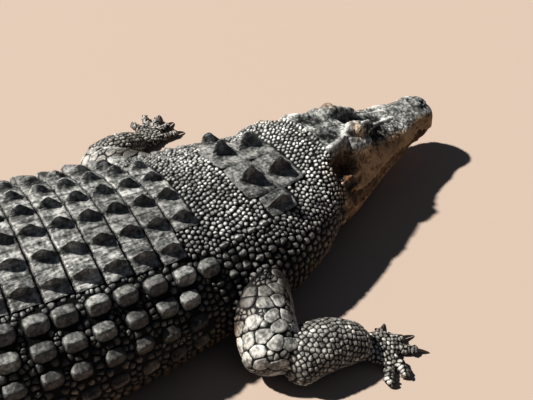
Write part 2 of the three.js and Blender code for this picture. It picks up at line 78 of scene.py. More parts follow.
def add_node(tree, kind, inputs=None, **settings):
    """A new node with its settings, and with its inputs given as values, nodes or sockets to link."""
    node = tree.nodes.new(kind)
    for name, value in settings.items():
        setattr(node, name, value)
    for name, value in (inputs or {}).items():
        socket = node.inputs[name]
        if isinstance(value, bpy.types.Node):
            value = value.outputs[0]
        if isinstance(value, bpy.types.NodeSocket):
            tree.links.new(value, socket)
        else:
            socket.default_value = value
    return node


def new_group(name, kind, output, **inputs):
    """An empty group of nodes with named inputs and one output, and the node that gives the inputs."""
    tree = bpy.data.node_groups.new(name, kind)
    socket_kinds = {int: "NodeSocketInt", float: "NodeSocketFloat"}
    for word, value in inputs.items():
        socket = tree.interface.new_socket(
            word.replace("_", " "), in_out="INPUT",
            socket_type=socket_kinds.get(type(value), "NodeSocketGeometry"))
        if value is not None:
            socket.default_value = value
    tree.interface.new_socket(output, in_out="OUTPUT", socket_type="NodeSocket" + output)
    return tree, add_node(tree, "NodeGroupInput")


def new_finish(name, **values):
    """A material with these values on its Principled shader, and its tree and that shader to work on."""
    finish = bpy.data.materials.new(name)
    finish.use_nodes = True
    shader = finish.node_tree.nodes["Principled BSDF"]
    for word, value in values.items():
        shader.inputs[word.replace("_", " ")].default_value = value
    return finish, finish.node_tree, shader

# %% [markdown]
# ## The line of the body
# A crocodile's spine bends sideways, so a point on the animal is told by its station along the spine, its
# distance out to the left or right, and its height above the floor. A curve object would draw the spine,
# but every scale has to ask where it is, so it is worked out here in numbers.

# %% Spine
HEAD = 0.63  # metres, snout tip to the back of the skull
TOTAL = 7.14  # head lengths, snout to tail tip
TAIL_BASE = 3.6
REST_POINT = 2.4  # the station over the origin, where the body points along -Y
BODY_BEND = math.radians(7.465)  # turn of the spine in each head length
TAIL_SWEEP = math.radians(30)  # extra turn at the middle of the tail
SPINE_STEP = 0.01


def heading(s):
    """The turn of the body to its left at a station, from -Y."""
    along_tail = np.clip((s - TAIL_BASE) / (TOTAL - TAIL_BASE), 0, 1)
    sweep = TAIL_SWEEP * np.sin(np.pi * along_tail) ** 2
    return BODY_BEND * (REST_POINT - np.minimum(s, TAIL_BASE)) - sweep


spine_s = np.arange(0, TOTAL + 0.5, SPINE_STEP)
step_turn = heading(spine_s + SPINE_STEP / 2)
spine_x = np.cumsum(-np.sin(step_turn)) * SPINE_STEP + np.sin(step_turn) * SPINE_STEP
spine_y = np.cumsum(np.cos(step_turn)) * SPINE_STEP - np.cos(step_turn) * SPINE_STEP
spine_x -= np.interp(REST_POINT, spine_s, spine_x)
spine_y -= np.interp(REST_POINT, spine_s, spine_y)


def place(s, side, height):
    """Points in metres from stations, distances to the left and heights, all in head lengths."""
    turn = heading(s)
    x = np.interp(s, spine_s, spine_x) + np.cos(turn) * side
    y = np.interp(s, spine_s, spine_y) + np.sin(turn) * side
    return np.stack(np.broadcast_arrays(x, y, height), -1) * HEAD


def value_at(table, station):
    """Smooth values between the rows of a small table, whose first column is the station."""
    table = np.asarray(table, float)
    x, rows = table[:, 0], table[:, 1:]
    order = np.arange(len(x))
    low, high = np.maximum(order - 1, 0), np.minimum(order + 1, len(x) - 1)
    slope = (rows[high] - rows[low]) / (x[high] - x[low])[:, None]
    s = np.clip(station, x[0], x[-1])
    k = np.clip(np.searchsorted(x, s, "right") - 1, 0, len(x) - 2)
    span = (x[k + 1] - x[k])[..., None]
    t = (s - x[k])[..., None] / span
    return (
        rows[k] * (2 * t ** 3 - 3 * t ** 2 + 1) + rows[k + 1] * (3 * t ** 2 - 2 * t ** 3)
        + slope[k] * span * (t ** 3 - 2 * t ** 2 + t) + slope[k + 1] * span * (t ** 3 - t ** 2))


print("snout at", place(0.03, 0, 0).round(3), "tail tip at", place(TOTAL, 0, 0).round(3))

# %% [markdown]
# ## The camera
# It stands at the animal's right flank, a little above a tall man's eye level, and looks down across the
# shoulders to the head. Its place comes from the size of the animal in the frame.

# %% Camera
CAMERA_PLACE = (-1.454, 0.249, 1.608)
CAMERA_HEADING = (0.8376, -0.5463)  # the level direction it looks along
CAMERA_PITCH = math.radians(39.662)
CAMERA_ROLL = math.radians(4.096)
CAMERA_LENS = 51.92  # mm, on a sensor 36 mm wide

ahead = np.array(
    [CAMERA_HEADING[0] * math.cos(CAMERA_PITCH), CAMERA_HEADING[1] * math.cos(CAMERA_PITCH),
    -math.sin(CAMERA_PITCH)])
level_right = np.array([CAMERA_HEADING[1], -CAMERA_HEADING[0], 0.0])
level_up = np.cross(level_right, ahead)
right = level_right * math.cos(CAMERA_ROLL) + level_up * math.sin(CAMERA_ROLL)
up = -level_right * math.sin(CAMERA_ROLL) + level_up * math.cos(CAMERA_ROLL)

camera = bpy.data.objects.new("camera", bpy.data.cameras.new("camera"))
scene.collection.objects.link(camera)
pose = np.eye(4)
pose[:3, 0], pose[:3, 1], pose[:3, 2], pose[:3, 3] = right, up, -ahead, CAMERA_PLACE
camera.matrix_world = Matrix(pose.tolist())
camera.data.lens = CAMERA_LENS
camera.data.sensor_width = 36
camera.data.clip_end = 100
scene.camera = camera

# %% [markdown]
# ## Sections of the body
# The trunk, neck and tail are one tube of rounded sections. Each is a superellipse, an ellipse whose
# corners can be made fuller. Drawing them by hand would do as well, but a superellipse needs only a width,
# a top, a bottom and the height of its widest line. The belly is squarer than the back, as it spreads on
# the ground.

# %% Trunk and tail
# station, half width, top, bottom, height of the widest line
BODY = [
    (0.9, 0.2, 0.4, 0.13, 0.26), (1.1, 0.37, 0.452, 0.07, 0.22), (1.3, 0.462, 0.468, 0.02, 0.19),
    (1.5, 0.51, 0.488, -0.012, 0.18), (1.9, 0.555, 0.53, -0.03, 0.17), (2.3, 0.602, 0.562, -0.03, 0.17),
    (2.7, 0.6, 0.578, -0.03, 0.175), (3.1, 0.52, 0.553, -0.03, 0.185), (3.4, 0.42, 0.505, -0.02, 0.19),
    (3.7, 0.335, 0.44, -0.02, 0.18), (4.2, 0.266, 0.375, -0.02, 0.155), (4.8, 0.2, 0.305, -0.015, 0.125),
    (5.5, 0.136, 0.225, -0.012, 0.09), (6.2, 0.08, 0.15, -0.008, 0.06), (6.8, 0.038, 0.085, -0.004, 0.035),
    (7.14, 0.01, 0.03, -0.002, 0.012),
]
BACK_ROUNDNESS = 1.85  # 2 is an ellipse, more is squarer
BELLY_ROUNDNESS = 3
COAT = 0.006  # metres, the depth of the scales on the body


def section(around, half_width, top, bottom, widest, back_roundness, belly_roundness):
    """Side and height of a rounded section; around runs from -1 to 1, and 0 is the line of the back."""
    across, rise = np.sin(np.pi * around), np.cos(np.pi * around)
    power = 2 / np.where(rise > 0, back_roundness, belly_roundness)
    half = np.where(rise > 0, top - widest, widest - bottom)
    return (
        half_width * np.sign(across) * np.abs(across) ** power,
        widest + half * np.sign(rise) * np.abs(rise) ** power)


def body_points(stations, around, inset):
    """Rows of points round the body, drawn in by the depth of the coat, less so towards the tail tip."""
    half_width, top, bottom, widest = [column[:, None] for column in value_at(BODY, stations).T]
    margin = np.minimum(inset / HEAD, 0.15 * half_width)
    side, height = section(
        around, half_width - margin, top - margin, bottom, widest, BACK_ROUNDNESS, BELLY_ROUNDNESS)
    return place(stations[:, None], side, height)


class Hide:
    """A tube of hide as a table, read by distance along it and distance round it from its upper line."""

    def __init__(self, along, points):
        steps = np.linalg.norm(np.diff(points, axis=1), axis=2)
        travelled = np.concatenate([np.zeros((len(points), 1)), np.cumsum(steps, axis=1)], axis=1)
        middle = points.shape[1] // 2
        girth = travelled - travelled[:, middle:middle + 1]
        share = np.linspace(-1, 1, points.shape[1])
        self.along = np.asarray(along)
        self.half = np.minimum(-girth[:, 0], girth[:, -1])
        self.points = np.stack(
            [np.stack([np.interp(share * half, row_girth, row[:, axis]) for axis in range(3)], -1)
            for half, row_girth, row in zip(self.half, girth, points)])
        ahead_step = np.gradient(self.points, axis=0)
        round_step = np.gradient(self.points, axis=1)
        self.back = ahead_step / (np.linalg.norm(ahead_step, axis=2, keepdims=True) + 1e-12)
        outward = np.cross(round_step, ahead_step)
        self.outward = outward / (np.linalg.norm(outward, axis=2, keepdims=True) + 1e-12)

    def half_girth(self, along):
        """Metres from the upper line round to the lower one."""
        return np.interp(along, self.along, self.half)

    def read(self, what, along, girth):
        """Values of one of the tables, which is points, back or outward, at these distances."""
        table = getattr(self, what)
        row = np.interp(along, self.along, np.arange(len(self.along)))
        column = (np.clip(girth / self.half_girth(along), -1, 1) + 1) / 2 * (table.shape[1] - 1)
        r = np.minimum(row.astype(int), table.shape[0] - 2)
        c = np.minimum(column.astype(int), table.shape[1] - 2)
        down, over = (row - r)[..., None], (column - c)[..., None]
        return (
            (table[r, c] * (1 - over) + table[r, c + 1] * over) * (1 - down)
            + (table[r + 1, c] * (1 - over) + table[r + 1, c + 1] * over) * down)


body_stations = np.linspace(BODY[0][0], TOTAL, 700)
body_hide = Hide(body_stations * HEAD, body_points(body_stations, np.linspace(-1, 1, 241), COAT))
print("girth at the chest, metres:", round(2 * float(body_hide.half_girth(2.0 * HEAD)), 2))

# %% [markdown]
# ## The head's own frame
# The head is held straight while the neck bends, so it has its own axes: x to the left, y back from the
# nape and z up. It is dropped a little at the snout. The long flat snout is drawn by a table of sections,
# as the trunk is.

# %% Head
HEAD_HEIGHT = 0.489  # of the nape, in head lengths
HEAD_PITCH = math.radians(8.9)
HEAD_TURN = math.radians(0.85)
HEAD_ROLL = math.radians(-3.6)
# station, half width, top, bottom, height of the widest line, squareness of the top
HEAD_FORM = [
    (0.03, 0.034, -0.085, -0.15, -0.12, 2.2), (0.045, 0.078, -0.05, -0.185, -0.13, 2.6),
    (0.08, 0.112, -0.03, -0.205, -0.145, 2.8), (0.14, 0.124, -0.028, -0.225, -0.155, 2.8),
    (0.21, 0.121, -0.042, -0.242, -0.165, 2.8), (0.31, 0.152, -0.055, -0.268, -0.185, 2.8),
    (0.43, 0.182, -0.056, -0.298, -0.205, 2.6), (0.55, 0.216, -0.046, -0.332, -0.23, 2.3),
    (0.66, 0.252, -0.03, -0.366, -0.25, 2), (0.765, 0.288, -0.008, -0.392, -0.272, 1.85),
    (0.87, 0.32, 0, -0.41, -0.288, 1.9), (1.0, 0.348, -0.002, -0.42, -0.295, 2.1),
    (1.1, 0.355, -0.03, -0.42, -0.288, 2.1), (1.18, 0.31, -0.08, -0.4, -0.275, 2),
]
HEAD_UNDER_ROUNDNESS = 3.6
NAPE = 1.0  # the station of the head's pivot
EYE_STATION, EYE_SIDE, EYE_LEVEL, EYE_RADIUS = 0.752, 0.102, 0.004, 0.033


def turning(axis, angle):
    """A turn about x, y or z."""
    a, b = [k for k in range(3) if k != axis]
    turn = np.eye(3)
    turn[a, a] = turn[b, b] = math.cos(angle)
    turn[a, b], turn[b, a] = -math.sin(angle), math.sin(angle)
    return turn.T if axis == 1 else turn


head_axes = turning(2, float(heading(NAPE)) + HEAD_TURN) @ turning(0, HEAD_PITCH) @ turning(1, HEAD_ROLL)
nape = place(NAPE, 0, HEAD_HEIGHT)


def on_head(station, side, height):
    """Points in metres from a station of the head, a side and a height above its pivot."""
    local = np.stack(np.broadcast_arrays(side, np.asarray(station) - NAPE, height), -1) * HEAD
    return nape + local @ head_axes.T


def head_place(points):
    """Side, station and height of points of the head, the other way round."""
    local = (points - nape) @ head_axes / HEAD
    return local[:, 0], local[:, 1] + NAPE, local[:, 2]


def head_points(stations, around):
    """Rows of points round the head."""
    half_width, top, bottom, widest, squareness = [c[:, None] for c in value_at(HEAD_FORM, stations).T]
    side, height = section(around, half_width, top, bottom, widest, squareness, HEAD_UNDER_ROUNDNESS)
    return on_head(stations[:, None], side, height)


def head_lump(station, side, height, length, width, rise):
    """An egg-shaped lump of the head, such as a brow, as rows of points."""
    turn = np.linspace(0.02, math.pi - 0.02, 15)[:, None]
    around = np.linspace(-1, 1, 25)
    return on_head(
        station - length * np.cos(turn), side + width * np.sin(turn) * np.sin(np.pi * around),
        height + rise * np.sin(turn) * np.cos(np.pi * around))


head_stations = HEAD_FORM[0][0] + (HEAD_FORM[-1][0] - HEAD_FORM[0][0]) * np.linspace(0, 1, 90) ** 1.3
head_parts = [
    head_points(head_stations, np.linspace(-1, 1, 121)), head_lump(0.115, 0, -0.042, 0.06, 0.055, 0.034)]
# brow, the swelling ahead of it, the cheek under the eye, and the corner of the skull table
HEAD_LUMPS = [
    (EYE_STATION, 0.082, 0, 0.085, 0.048, 0.04), (0.677, 0.072, -0.022, 0.1, 0.036, 0.03),
    (0.765, 0.125, -0.045, 0.11, 0.06, 0.04), (0.955, 0.138, -0.034, 0.075, 0.034, 0.03)]
for half in (1, -1):
    for station, side, *rest in HEAD_LUMPS:
        head_parts.append(head_lump(station, half * side, *rest))
print("head parts:", len(head_parts), "snout tip height", round(float(on_head(0.03, 0, -0.125)[2]), 3))

# %% [markdown]
# ## Legs and feet
# A resting crocodile lets its legs lie out to the side with the elbows and knees bent. Each length is a
# tube through three places, with rounded ends that run into each other at the joints. Front feet have five
# digits and hind feet four, and only the inner three of each carry a claw.

# %% Legs
LEG_COAT = 0.003  # metres, the depth of the leg's scales
# For each length: station, side, height, half width and half depth, from the body outwards.
LEGS = {
    "foreleg_left": {
        "foot": "hand_left",
        "upper": [(1.6, 0.42, 0.2, 0.1, 0.11), (1.72, 0.6, 0.175, 0.115, 0.115),
                  (1.8, 0.78, 0.11, 0.105, 0.1)],
        "lower": [(1.77, 0.8, 0.1, 0.1, 0.09), (1.58, 0.85, 0.1, 0.095, 0.085),
                  (1.39, 0.92, 0.052, 0.066, 0.05)],
        "palm": [(1.43, 0.91, 0.045, 0.06, 0.045), (1.33, 0.95, 0.028, 0.085, 0.034),
                 (1.24, 0.985, 0.02, 0.08, 0.026)],
        "digits": [((1.29, 0.915), (1.115, 0.905)), ((1.26, 0.955), (1.105, 1.005)),
                   ((1.245, 0.985), (1.12, 1.1)),
                   ((1.26, 1.02), (1.19, 1.155)), ((1.3, 1.03), (1.315, 1.13))],
    },
    "foreleg_right": {
        "foot": "hand_right",
        "upper": [(1.56, -0.4, 0.2, 0.11, 0.12), (1.685, -0.6, 0.185, 0.13, 0.125),
                  (1.75, -0.8, 0.105, 0.115, 0.105)],
        "lower": [(1.72, -0.79, 0.1, 0.11, 0.1), (1.54, -0.8, 0.115, 0.115, 0.11),
                  (1.36, -0.86, 0.066, 0.084, 0.066)],
        "palm": [(1.41, -0.86, 0.05, 0.065, 0.05), (1.32, -0.9, 0.03, 0.09, 0.036),
                 (1.27, -0.945, 0.02, 0.085, 0.026)],
        "digits": [((1.31, -0.86), (1.245, -0.825)), ((1.28, -0.89), (1.2, -0.915)),
                   ((1.27, -0.94), (1.205, -1.0)),
                   ((1.3, -0.98), (1.33, -1.075)), ((1.34, -0.97), (1.41, -1.065))],
    },
    "hindleg_left": {
        "foot": "foot_left",
        "upper": [(3.3, 0.3, 0.22, 0.13, 0.15), (3.12, 0.5, 0.2, 0.14, 0.14),
                  (2.98, 0.7, 0.14, 0.11, 0.11)],
        "lower": [(3.0, 0.72, 0.12, 0.11, 0.1), (3.2, 0.8, 0.1, 0.095, 0.085),
                  (3.42, 0.84, 0.055, 0.068, 0.052)],
        "palm": [(3.385, 0.84, 0.05, 0.055, 0.04), (3.34, 0.95, 0.03, 0.085, 0.036),
                 (3.25, 1.04, 0.02, 0.09, 0.026)],
        "digits": [((3.24, 0.97), (3.08, 1.01)), ((3.22, 1.02), (3.06, 1.12)), ((3.24, 1.06), (3.1, 1.21)),
                   ((3.28, 1.02), (3.21, 1.23))],
    },
    "hindleg_right": {
        "foot": "foot_right",
        "upper": [(3.3, -0.3, 0.22, 0.13, 0.15), (3.14, -0.52, 0.2, 0.14, 0.14),
                  (3.04, -0.72, 0.14, 0.11, 0.11)],
        "lower": [(3.06, -0.73, 0.12, 0.11, 0.1), (3.27, -0.8, 0.1, 0.095, 0.085),
                  (3.48, -0.83, 0.055, 0.068, 0.052)],
        "palm": [(3.445, -0.83, 0.05, 0.055, 0.04), (3.41, -0.94, 0.03, 0.085, 0.036),
                 (3.33, -1.03, 0.02, 0.09, 0.026)],
        "digits": [((3.32, -0.96), (3.16, -1.01)), ((3.3, -1.01), (3.15, -1.12)),
                   ((3.32, -1.05), (3.2, -1.2)),
                   ((3.36, -1.0), (3.3, -1.22))],
    },
}
DIGIT_THICKNESS = {"fore": 0.024, "hind": 0.03}
STRAIGHT_SHARE = 0.72  # of each length, before its ends round off


def oval_tube(centre, half_width, half_depth, columns):
    """Rows of points round a line of centres, as ovals that are level across."""
    forward = np.gradient(centre, axis=0)
    forward /= np.linalg.norm(forward, axis=1, keepdims=True)
    out = np.cross(forward, [0, 0, 1])
    out /= np.linalg.norm(out, axis=1, keepdims=True)
    rise = np.cross(out, forward)
    around = np.linspace(-1, 1, columns)[:, None]
    return (
        centre[:, None] + out[:, None] * np.sin(np.pi * around) * half_width[:, None, None]
        + rise[:, None] * np.cos(np.pi * around) * half_depth[:, None, None])


def leg_tube(stations, rows=40, columns=49, inset=0.0):
    """Rows of points round a length of leg, with the distance along it, and with both ends rounded off."""
    stations = np.asarray(stations, float)
    knots = np.column_stack([np.arange(len(stations)), place(*stations[:, :3].T), stations[:, 3:] * HEAD])
    t = (1 - np.cos(np.linspace(0, math.pi, rows))) / 2
    values = value_at(knots, t * (len(stations) - 1))
    centre, half_width, half_depth = values[:, :3], values[:, 3], values[:, 4]
    end = np.maximum(0, np.abs(2 * t - 1) - STRAIGHT_SHARE) / (1 - STRAIGHT_SHARE)
    closing = np.sqrt(np.maximum(0.004, 1 - end ** 2))
    along = np.concatenate([[0], np.cumsum(np.linalg.norm(np.diff(centre, axis=0), axis=1))])
    return along, oval_tube(centre, half_width * closing - inset, half_depth * closing - inset, columns)


def digit_stations(root, tip, thickness):
    """A digit as stations of a tube: it thins towards its tip and lies flat under the sole."""
    return [
        (root[0] + (tip[0] - root[0]) * t, root[1] + (tip[1] - root[1]) * t,
        thickness * (0.95 - 0.25 * t), thickness * (1.1 - 0.3 * t), thickness * (1 - 0.22 * t))
        for t in (0, 0.6, 1)]


leg_tubes = []  # name of the leg, kind of length, distances along it and points
for leg_name, leg in LEGS.items():
    for part in ("upper", "lower", "palm"):
        leg_tubes.append((leg_name, part, *leg_tube(leg[part], inset=LEG_COAT)))
    for root, tip in leg["digits"]:
        stations = digit_stations(root, tip, DIGIT_THICKNESS[leg_name[:4]])
        leg_tubes.append((leg_name, "digit", *leg_tube(stations, 24, 25, 0.001)))
print("lengths of leg and digits:", len(leg_tubes))

# %% [markdown]
# ## One hide
# The tubes overlap at the shoulders, hips and nape. A voxel remesh melts overlapping closed shapes into one
# even skin, as a modeller would press clay together, and a little smoothing fillets the creases. Joining
# the meshes edge by edge would be finer, but it would take days by hand. The skin under the scales needs
# few faces, so they are thinned there. The head's are divided again, because its lids, folds and pits are
# shaped in the skin itself.

# %% Mesh tools
def make_mesh(name, points, faces):
    """A smooth-shaded mesh from points and a list of arrays of faces, such as quads and triangles."""
    mesh = bpy.data.meshes.new(name)
    mesh.from_pydata(np.asarray(points).tolist(), [], [face for group in faces for face in group.tolist()])
    mesh.shade_smooth()
    return mesh


def add_piece(name, mesh):
    piece = bpy.data.objects.new(name, mesh)
    scene.collection.objects.link(piece)
    return piece


def closed_rows(rows, columns):
    """Point numbers of rows that close on themselves, those of the next in each row, and the quads."""
    grid = np.arange(rows * columns).reshape(rows, columns)
    over = np.roll(grid, -1, axis=1)
    return grid, over, np.stack([grid[:-1], grid[1:], over[1:], over[:-1]], -1).reshape(-1, 4)


def closed_tube(points):
    """Points and faces of a tube whose first and last columns meet, with a cap at each end."""
    rows, columns = points.shape[0], points.shape[1] - 1
    grid, over, quads = closed_rows(rows, columns)
    start = np.stack([np.full(columns, rows * columns), over[0], grid[0]], -1)
    end = np.stack([np.full(columns, rows * columns + 1), grid[-1], over[-1]], -1)
    rim = points[:, :-1]
    ends = [rim[0].mean(0), rim[-1].mean(0)]
    return np.vstack([rim.reshape(-1, 3), *ends]), quads[:, [0, 3, 2, 1]], np.vstack([start, end])


def joined_tubes(name, tubes):
    """One mesh of several closed tubes."""
    shells = [closed_tube(points) for points in tubes]
    starts = np.cumsum([0] + [len(points) for points, _, _ in shells[:-1]])
    faces = [np.vstack([shell[k] + first for shell, first in zip(shells, starts)]) for k in (1, 2)]
    return make_mesh(name, np.vstack([shell[0] for shell in shells]), faces)


def evaluated(piece):
    """The mesh of a piece after its modifiers, which are then removed."""
    graph = bpy.context.evaluated_depsgraph_get()
    mesh = bpy.data.meshes.new_from_object(piece.evaluated_get(graph))
    piece.modifiers.clear()
    return mesh


def read(items, what, width=1, kind=np.float32):
    """One property of all points, faces or corners of a mesh, as a list or as rows of this width."""
    values = np.empty(len(items) * width, kind)
    items.foreach_get(what, values)
    return values if width == 1 else values.reshape(-1, width)


def point_array(mesh):
    return read(mesh.vertices, "co", 3).astype(float)


def set_points(mesh, points):
    mesh.vertices.foreach_set("co", points.astype(np.float32).ravel())
    mesh.update()


def soften(mesh, rounds, share):
    """Moves each point part of the way to the middle of its neighbours, as often as told."""
    a, b = read(mesh.edges, "vertices", 2, np.int32).T
    points = point_array(mesh)
    count = np.maximum(np.bincount(np.concatenate([a, b]), minlength=len(points)), 1)[:, None]
    for _ in range(rounds):
        total = np.stack(
            [np.bincount(a, column[b], len(points)) + np.bincount(b, column[a], len(points))
            for column in points.T], -1)
        points += (total / count - points) * share[:, None]
    set_points(mesh, points)

# %% The melted skin
VOXEL = 0.006  # metres
rough_body = body_points(np.linspace(BODY[0][0], TOTAL, 320), np.linspace(-1, 1, 97), COAT)
hide = add_piece(
    "hide", joined_tubes("hide", [rough_body, *head_parts, *[points for *_, points in leg_tubes]]))
remesh = hide.modifiers.new("melt", "REMESH")
remesh.mode = "VOXEL"
remesh.voxel_size = VOXEL
remesh.use_smooth_shade = True
hide.data = evaluated(hide)
soften(hide.data, 3, np.full(len(hide.data.vertices), 0.6))
print("melted skin:", len(hide.data.polygons), "faces")

# %% Fewer faces under the coat, more on the head
HEAD_END = 1.05  # the station behind which beads of the neck cover the skin
COVERED_SHARE = 0.07  # of the faces are kept where scales cover them


def ramp(value, low, high):
    """A soft step from 0 to 1."""
    t = np.clip((value - low) / (high - low), 0, 1)
    return t * t * (3 - 2 * t)


def span(value, low, high, soft):
    """1 between two values and 0 outside them, with soft ends."""
    return ramp(value, low - soft, low + soft) * (1 - ramp(value, high - soft, high + soft))


def ridge(distance, width):
    """1 on a line, fading to 0 on both sides of it."""
    return np.exp(-(distance / width) ** 2)


points = point_array(hide.data)
points[:, 2] = np.maximum(points[:, 2], 0)  # belly, tail and soles lie flat on the floor
set_points(hide.data, points)
station = head_place(points)[1]
covered = np.flatnonzero(station > HEAD_END)
group = hide.vertex_groups.new(name="covered")
group.add([int(k) for k in covered], 1.0, "REPLACE")
thinning = hide.modifiers.new("thin", "DECIMATE")
thinning.vertex_group = "covered"
thinning.ratio = 1 - (1 - COVERED_SHARE) * len(covered) / len(points)
hide.data = evaluated(hide)
hide.vertex_groups.clear()

finer = bmesh.new()
finer.from_mesh(hide.data)
is_head = head_place(read(hide.data.polygons, "center", 3).astype(float))[1] < HEAD_END
finer.faces.ensure_lookup_table()
edges = {edge for face, chosen in zip(finer.faces, is_head) if chosen for edge in face.edges}
bmesh.ops.subdivide_edges(finer, edges=list(edges), cuts=1, use_grid_fill=True)
bmesh.ops.triangulate(finer, faces=[face for face in finer.faces if len(face.verts) > 4])
finer.to_mesh(hide.data)
finer.free()
hide.data.shade_smooth()
station = head_place(point_array(hide.data))[1]
soften(hide.data, 4, 0.5 * (1 - ramp(station, HEAD_END - 0.03, HEAD_END)))
print(
    "skin:", len(hide.data.polygons), "faces,",
    sum(len(face.vertices) - 2 for face in hide.data.polygons), "triangles")

# %% [markdown]
# ## The face of the skin
# A crocodile's head has no loose skin: it is hide stretched over sculpted bone. What the eye reads there is
# the flat table behind the eyes with its raised rims, the two ridges that run from the eyes along the
# snout, the round nose disc with its two slits, the wavy line of the mouth and the rough, pitted bone.
# Sculpting by hand would give the same forms. Here each form is one line: a push along the surface, where
# the distance to a line is small.

# %% Sculpt the head
# the line of the closed mouth, as station and height, which rises behind the eye
MOUTH_LINE = [
    (-0.1, -0.135), (0.11, -0.145), (0.21, -0.13), (0.31, -0.165), (0.44, -0.158), (0.58, -0.178),
    (0.72, -0.205), (0.84, -0.2), (0.96, -0.17), (1.3, -0.15)]
TABLE_EDGE = [(0.78, 0.085), (0.86, 0.122), (0.93, 0.145), (0.99, 0.158), (1.03, 0.16)]  # station, side
SNOUT_RIDGE = [(0.3, 0.03), (0.42, 0.038), (0.56, 0.052), (0.7, 0.078)]
NOSE = (0.112, 0.019, 0.014)  # station and side of each nostril, and the bend of its slit


def mouth_height(station):
    """Height of the closed mouth above the head's pivot."""
    return value_at(MOUTH_LINE, station)[..., 0]


skin_points = point_array(hide.data)
skin_normals = read(hide.data.vertex_normals, "vector", 3).astype(float)
side, station, height = head_place(skin_points)
out_x, out_y, out_z = (skin_normals @ head_axes).T
away = np.abs(side)
on_top = ramp(out_z, 0.15, 0.7)
on_flank = ramp(np.hypot(out_x, np.minimum(out_y, 0)), 0.35, 0.8)
head_share = 1 - ramp(station, HEAD_END - 0.03, HEAD_END)

table_edge = value_at(TABLE_EDGE, station)[:, 0]
table = span(station, 0.8, 1.01, 0.02)
table_top = -0.004 - 0.11 * ramp(away, table_edge, table_edge + 0.04) - 0.1 * ramp(station, 0.995, 1.03)
lift = (table_top - height) * table * (height > -0.12) * ramp(out_z, 0.0, 0.3)
lift *= ramp(away, 0.0, 0.02) * ramp(station, 0.82, 0.86) + (lift > 0) * (1 - ramp(station, 0.82, 0.86))
push = 0.010 * ridge(away - table_edge + 0.012, 0.012) * table * on_top
push -= 0.005 * ridge(away - 0.5 * table_edge, 0.03) * span(station, 0.86, 0.97, 0.02) * on_top
beside_table = span(station, 0.83, 0.98, 0.02) * (away > table_edge)
push -= 0.008 * ridge(height - table_top + 0.035, 0.012) * beside_table
ridge_side = value_at(SNOUT_RIDGE, station)[:, 0]
push += 0.012 * ridge(away - ridge_side, 0.013) * span(station, 0.36, 0.68, 0.04) * on_top
push -= 0.008 * ridge(away, 0.03) * span(station, 0.46, 0.72, 0.04) * on_top
push -= 0.009 * ridge(away - ridge_side - 0.045, 0.025) * span(station, 0.5, 0.68, 0.03) * on_top
push += 0.007 * ridge(np.hypot(station - 0.33, away - 0.1), 0.04) * on_top
for nose_half in (1, -1):
    from_nostril = np.hypot(station - NOSE[0], side - nose_half * NOSE[1])
    slit = np.abs(from_nostril - NOSE[2]) + 0.03 * ramp(-(side * nose_half - NOSE[1]), 0, 0.01)
    push -= 0.014 * ridge(slit, 0.0055) * on_top * (station < 0.2)
from_disc = np.hypot((station - 0.115) / 0.058, side / 0.056)
push -= 0.004 * ridge(from_disc - 1, 0.14) * on_top * (station < 0.2)

scallop = 0.0035 * np.sin(station * 2 * np.pi / 0.047)
above_lip = height - mouth_height(station) - scallop
lip_share = on_flank * (1 - ramp(station, 0.9, 0.98)) * (height < -0.08)
push -= 0.013 * ridge(above_lip, 0.006) * lip_share
push += 0.005 * ridge(above_lip - 0.016, 0.012) * lip_share
push -= 0.007 * span(above_lip, -0.07, -0.004, 0.003) * lip_share
push += 0.008 * ridge(np.hypot((station - 0.95) / 1.6, height + 0.25), 0.05) * on_flank
push *= head_share * HEAD
head_up = head_axes[:, 2]
skin_points += skin_normals * push[:, None] + head_up * (lift * head_share * HEAD)[:, None]
set_points(hide.data, skin_points)
print("deepest and highest push, mm:", (push.min() * 1000).round(1), (push.max() * 1000).round(1))
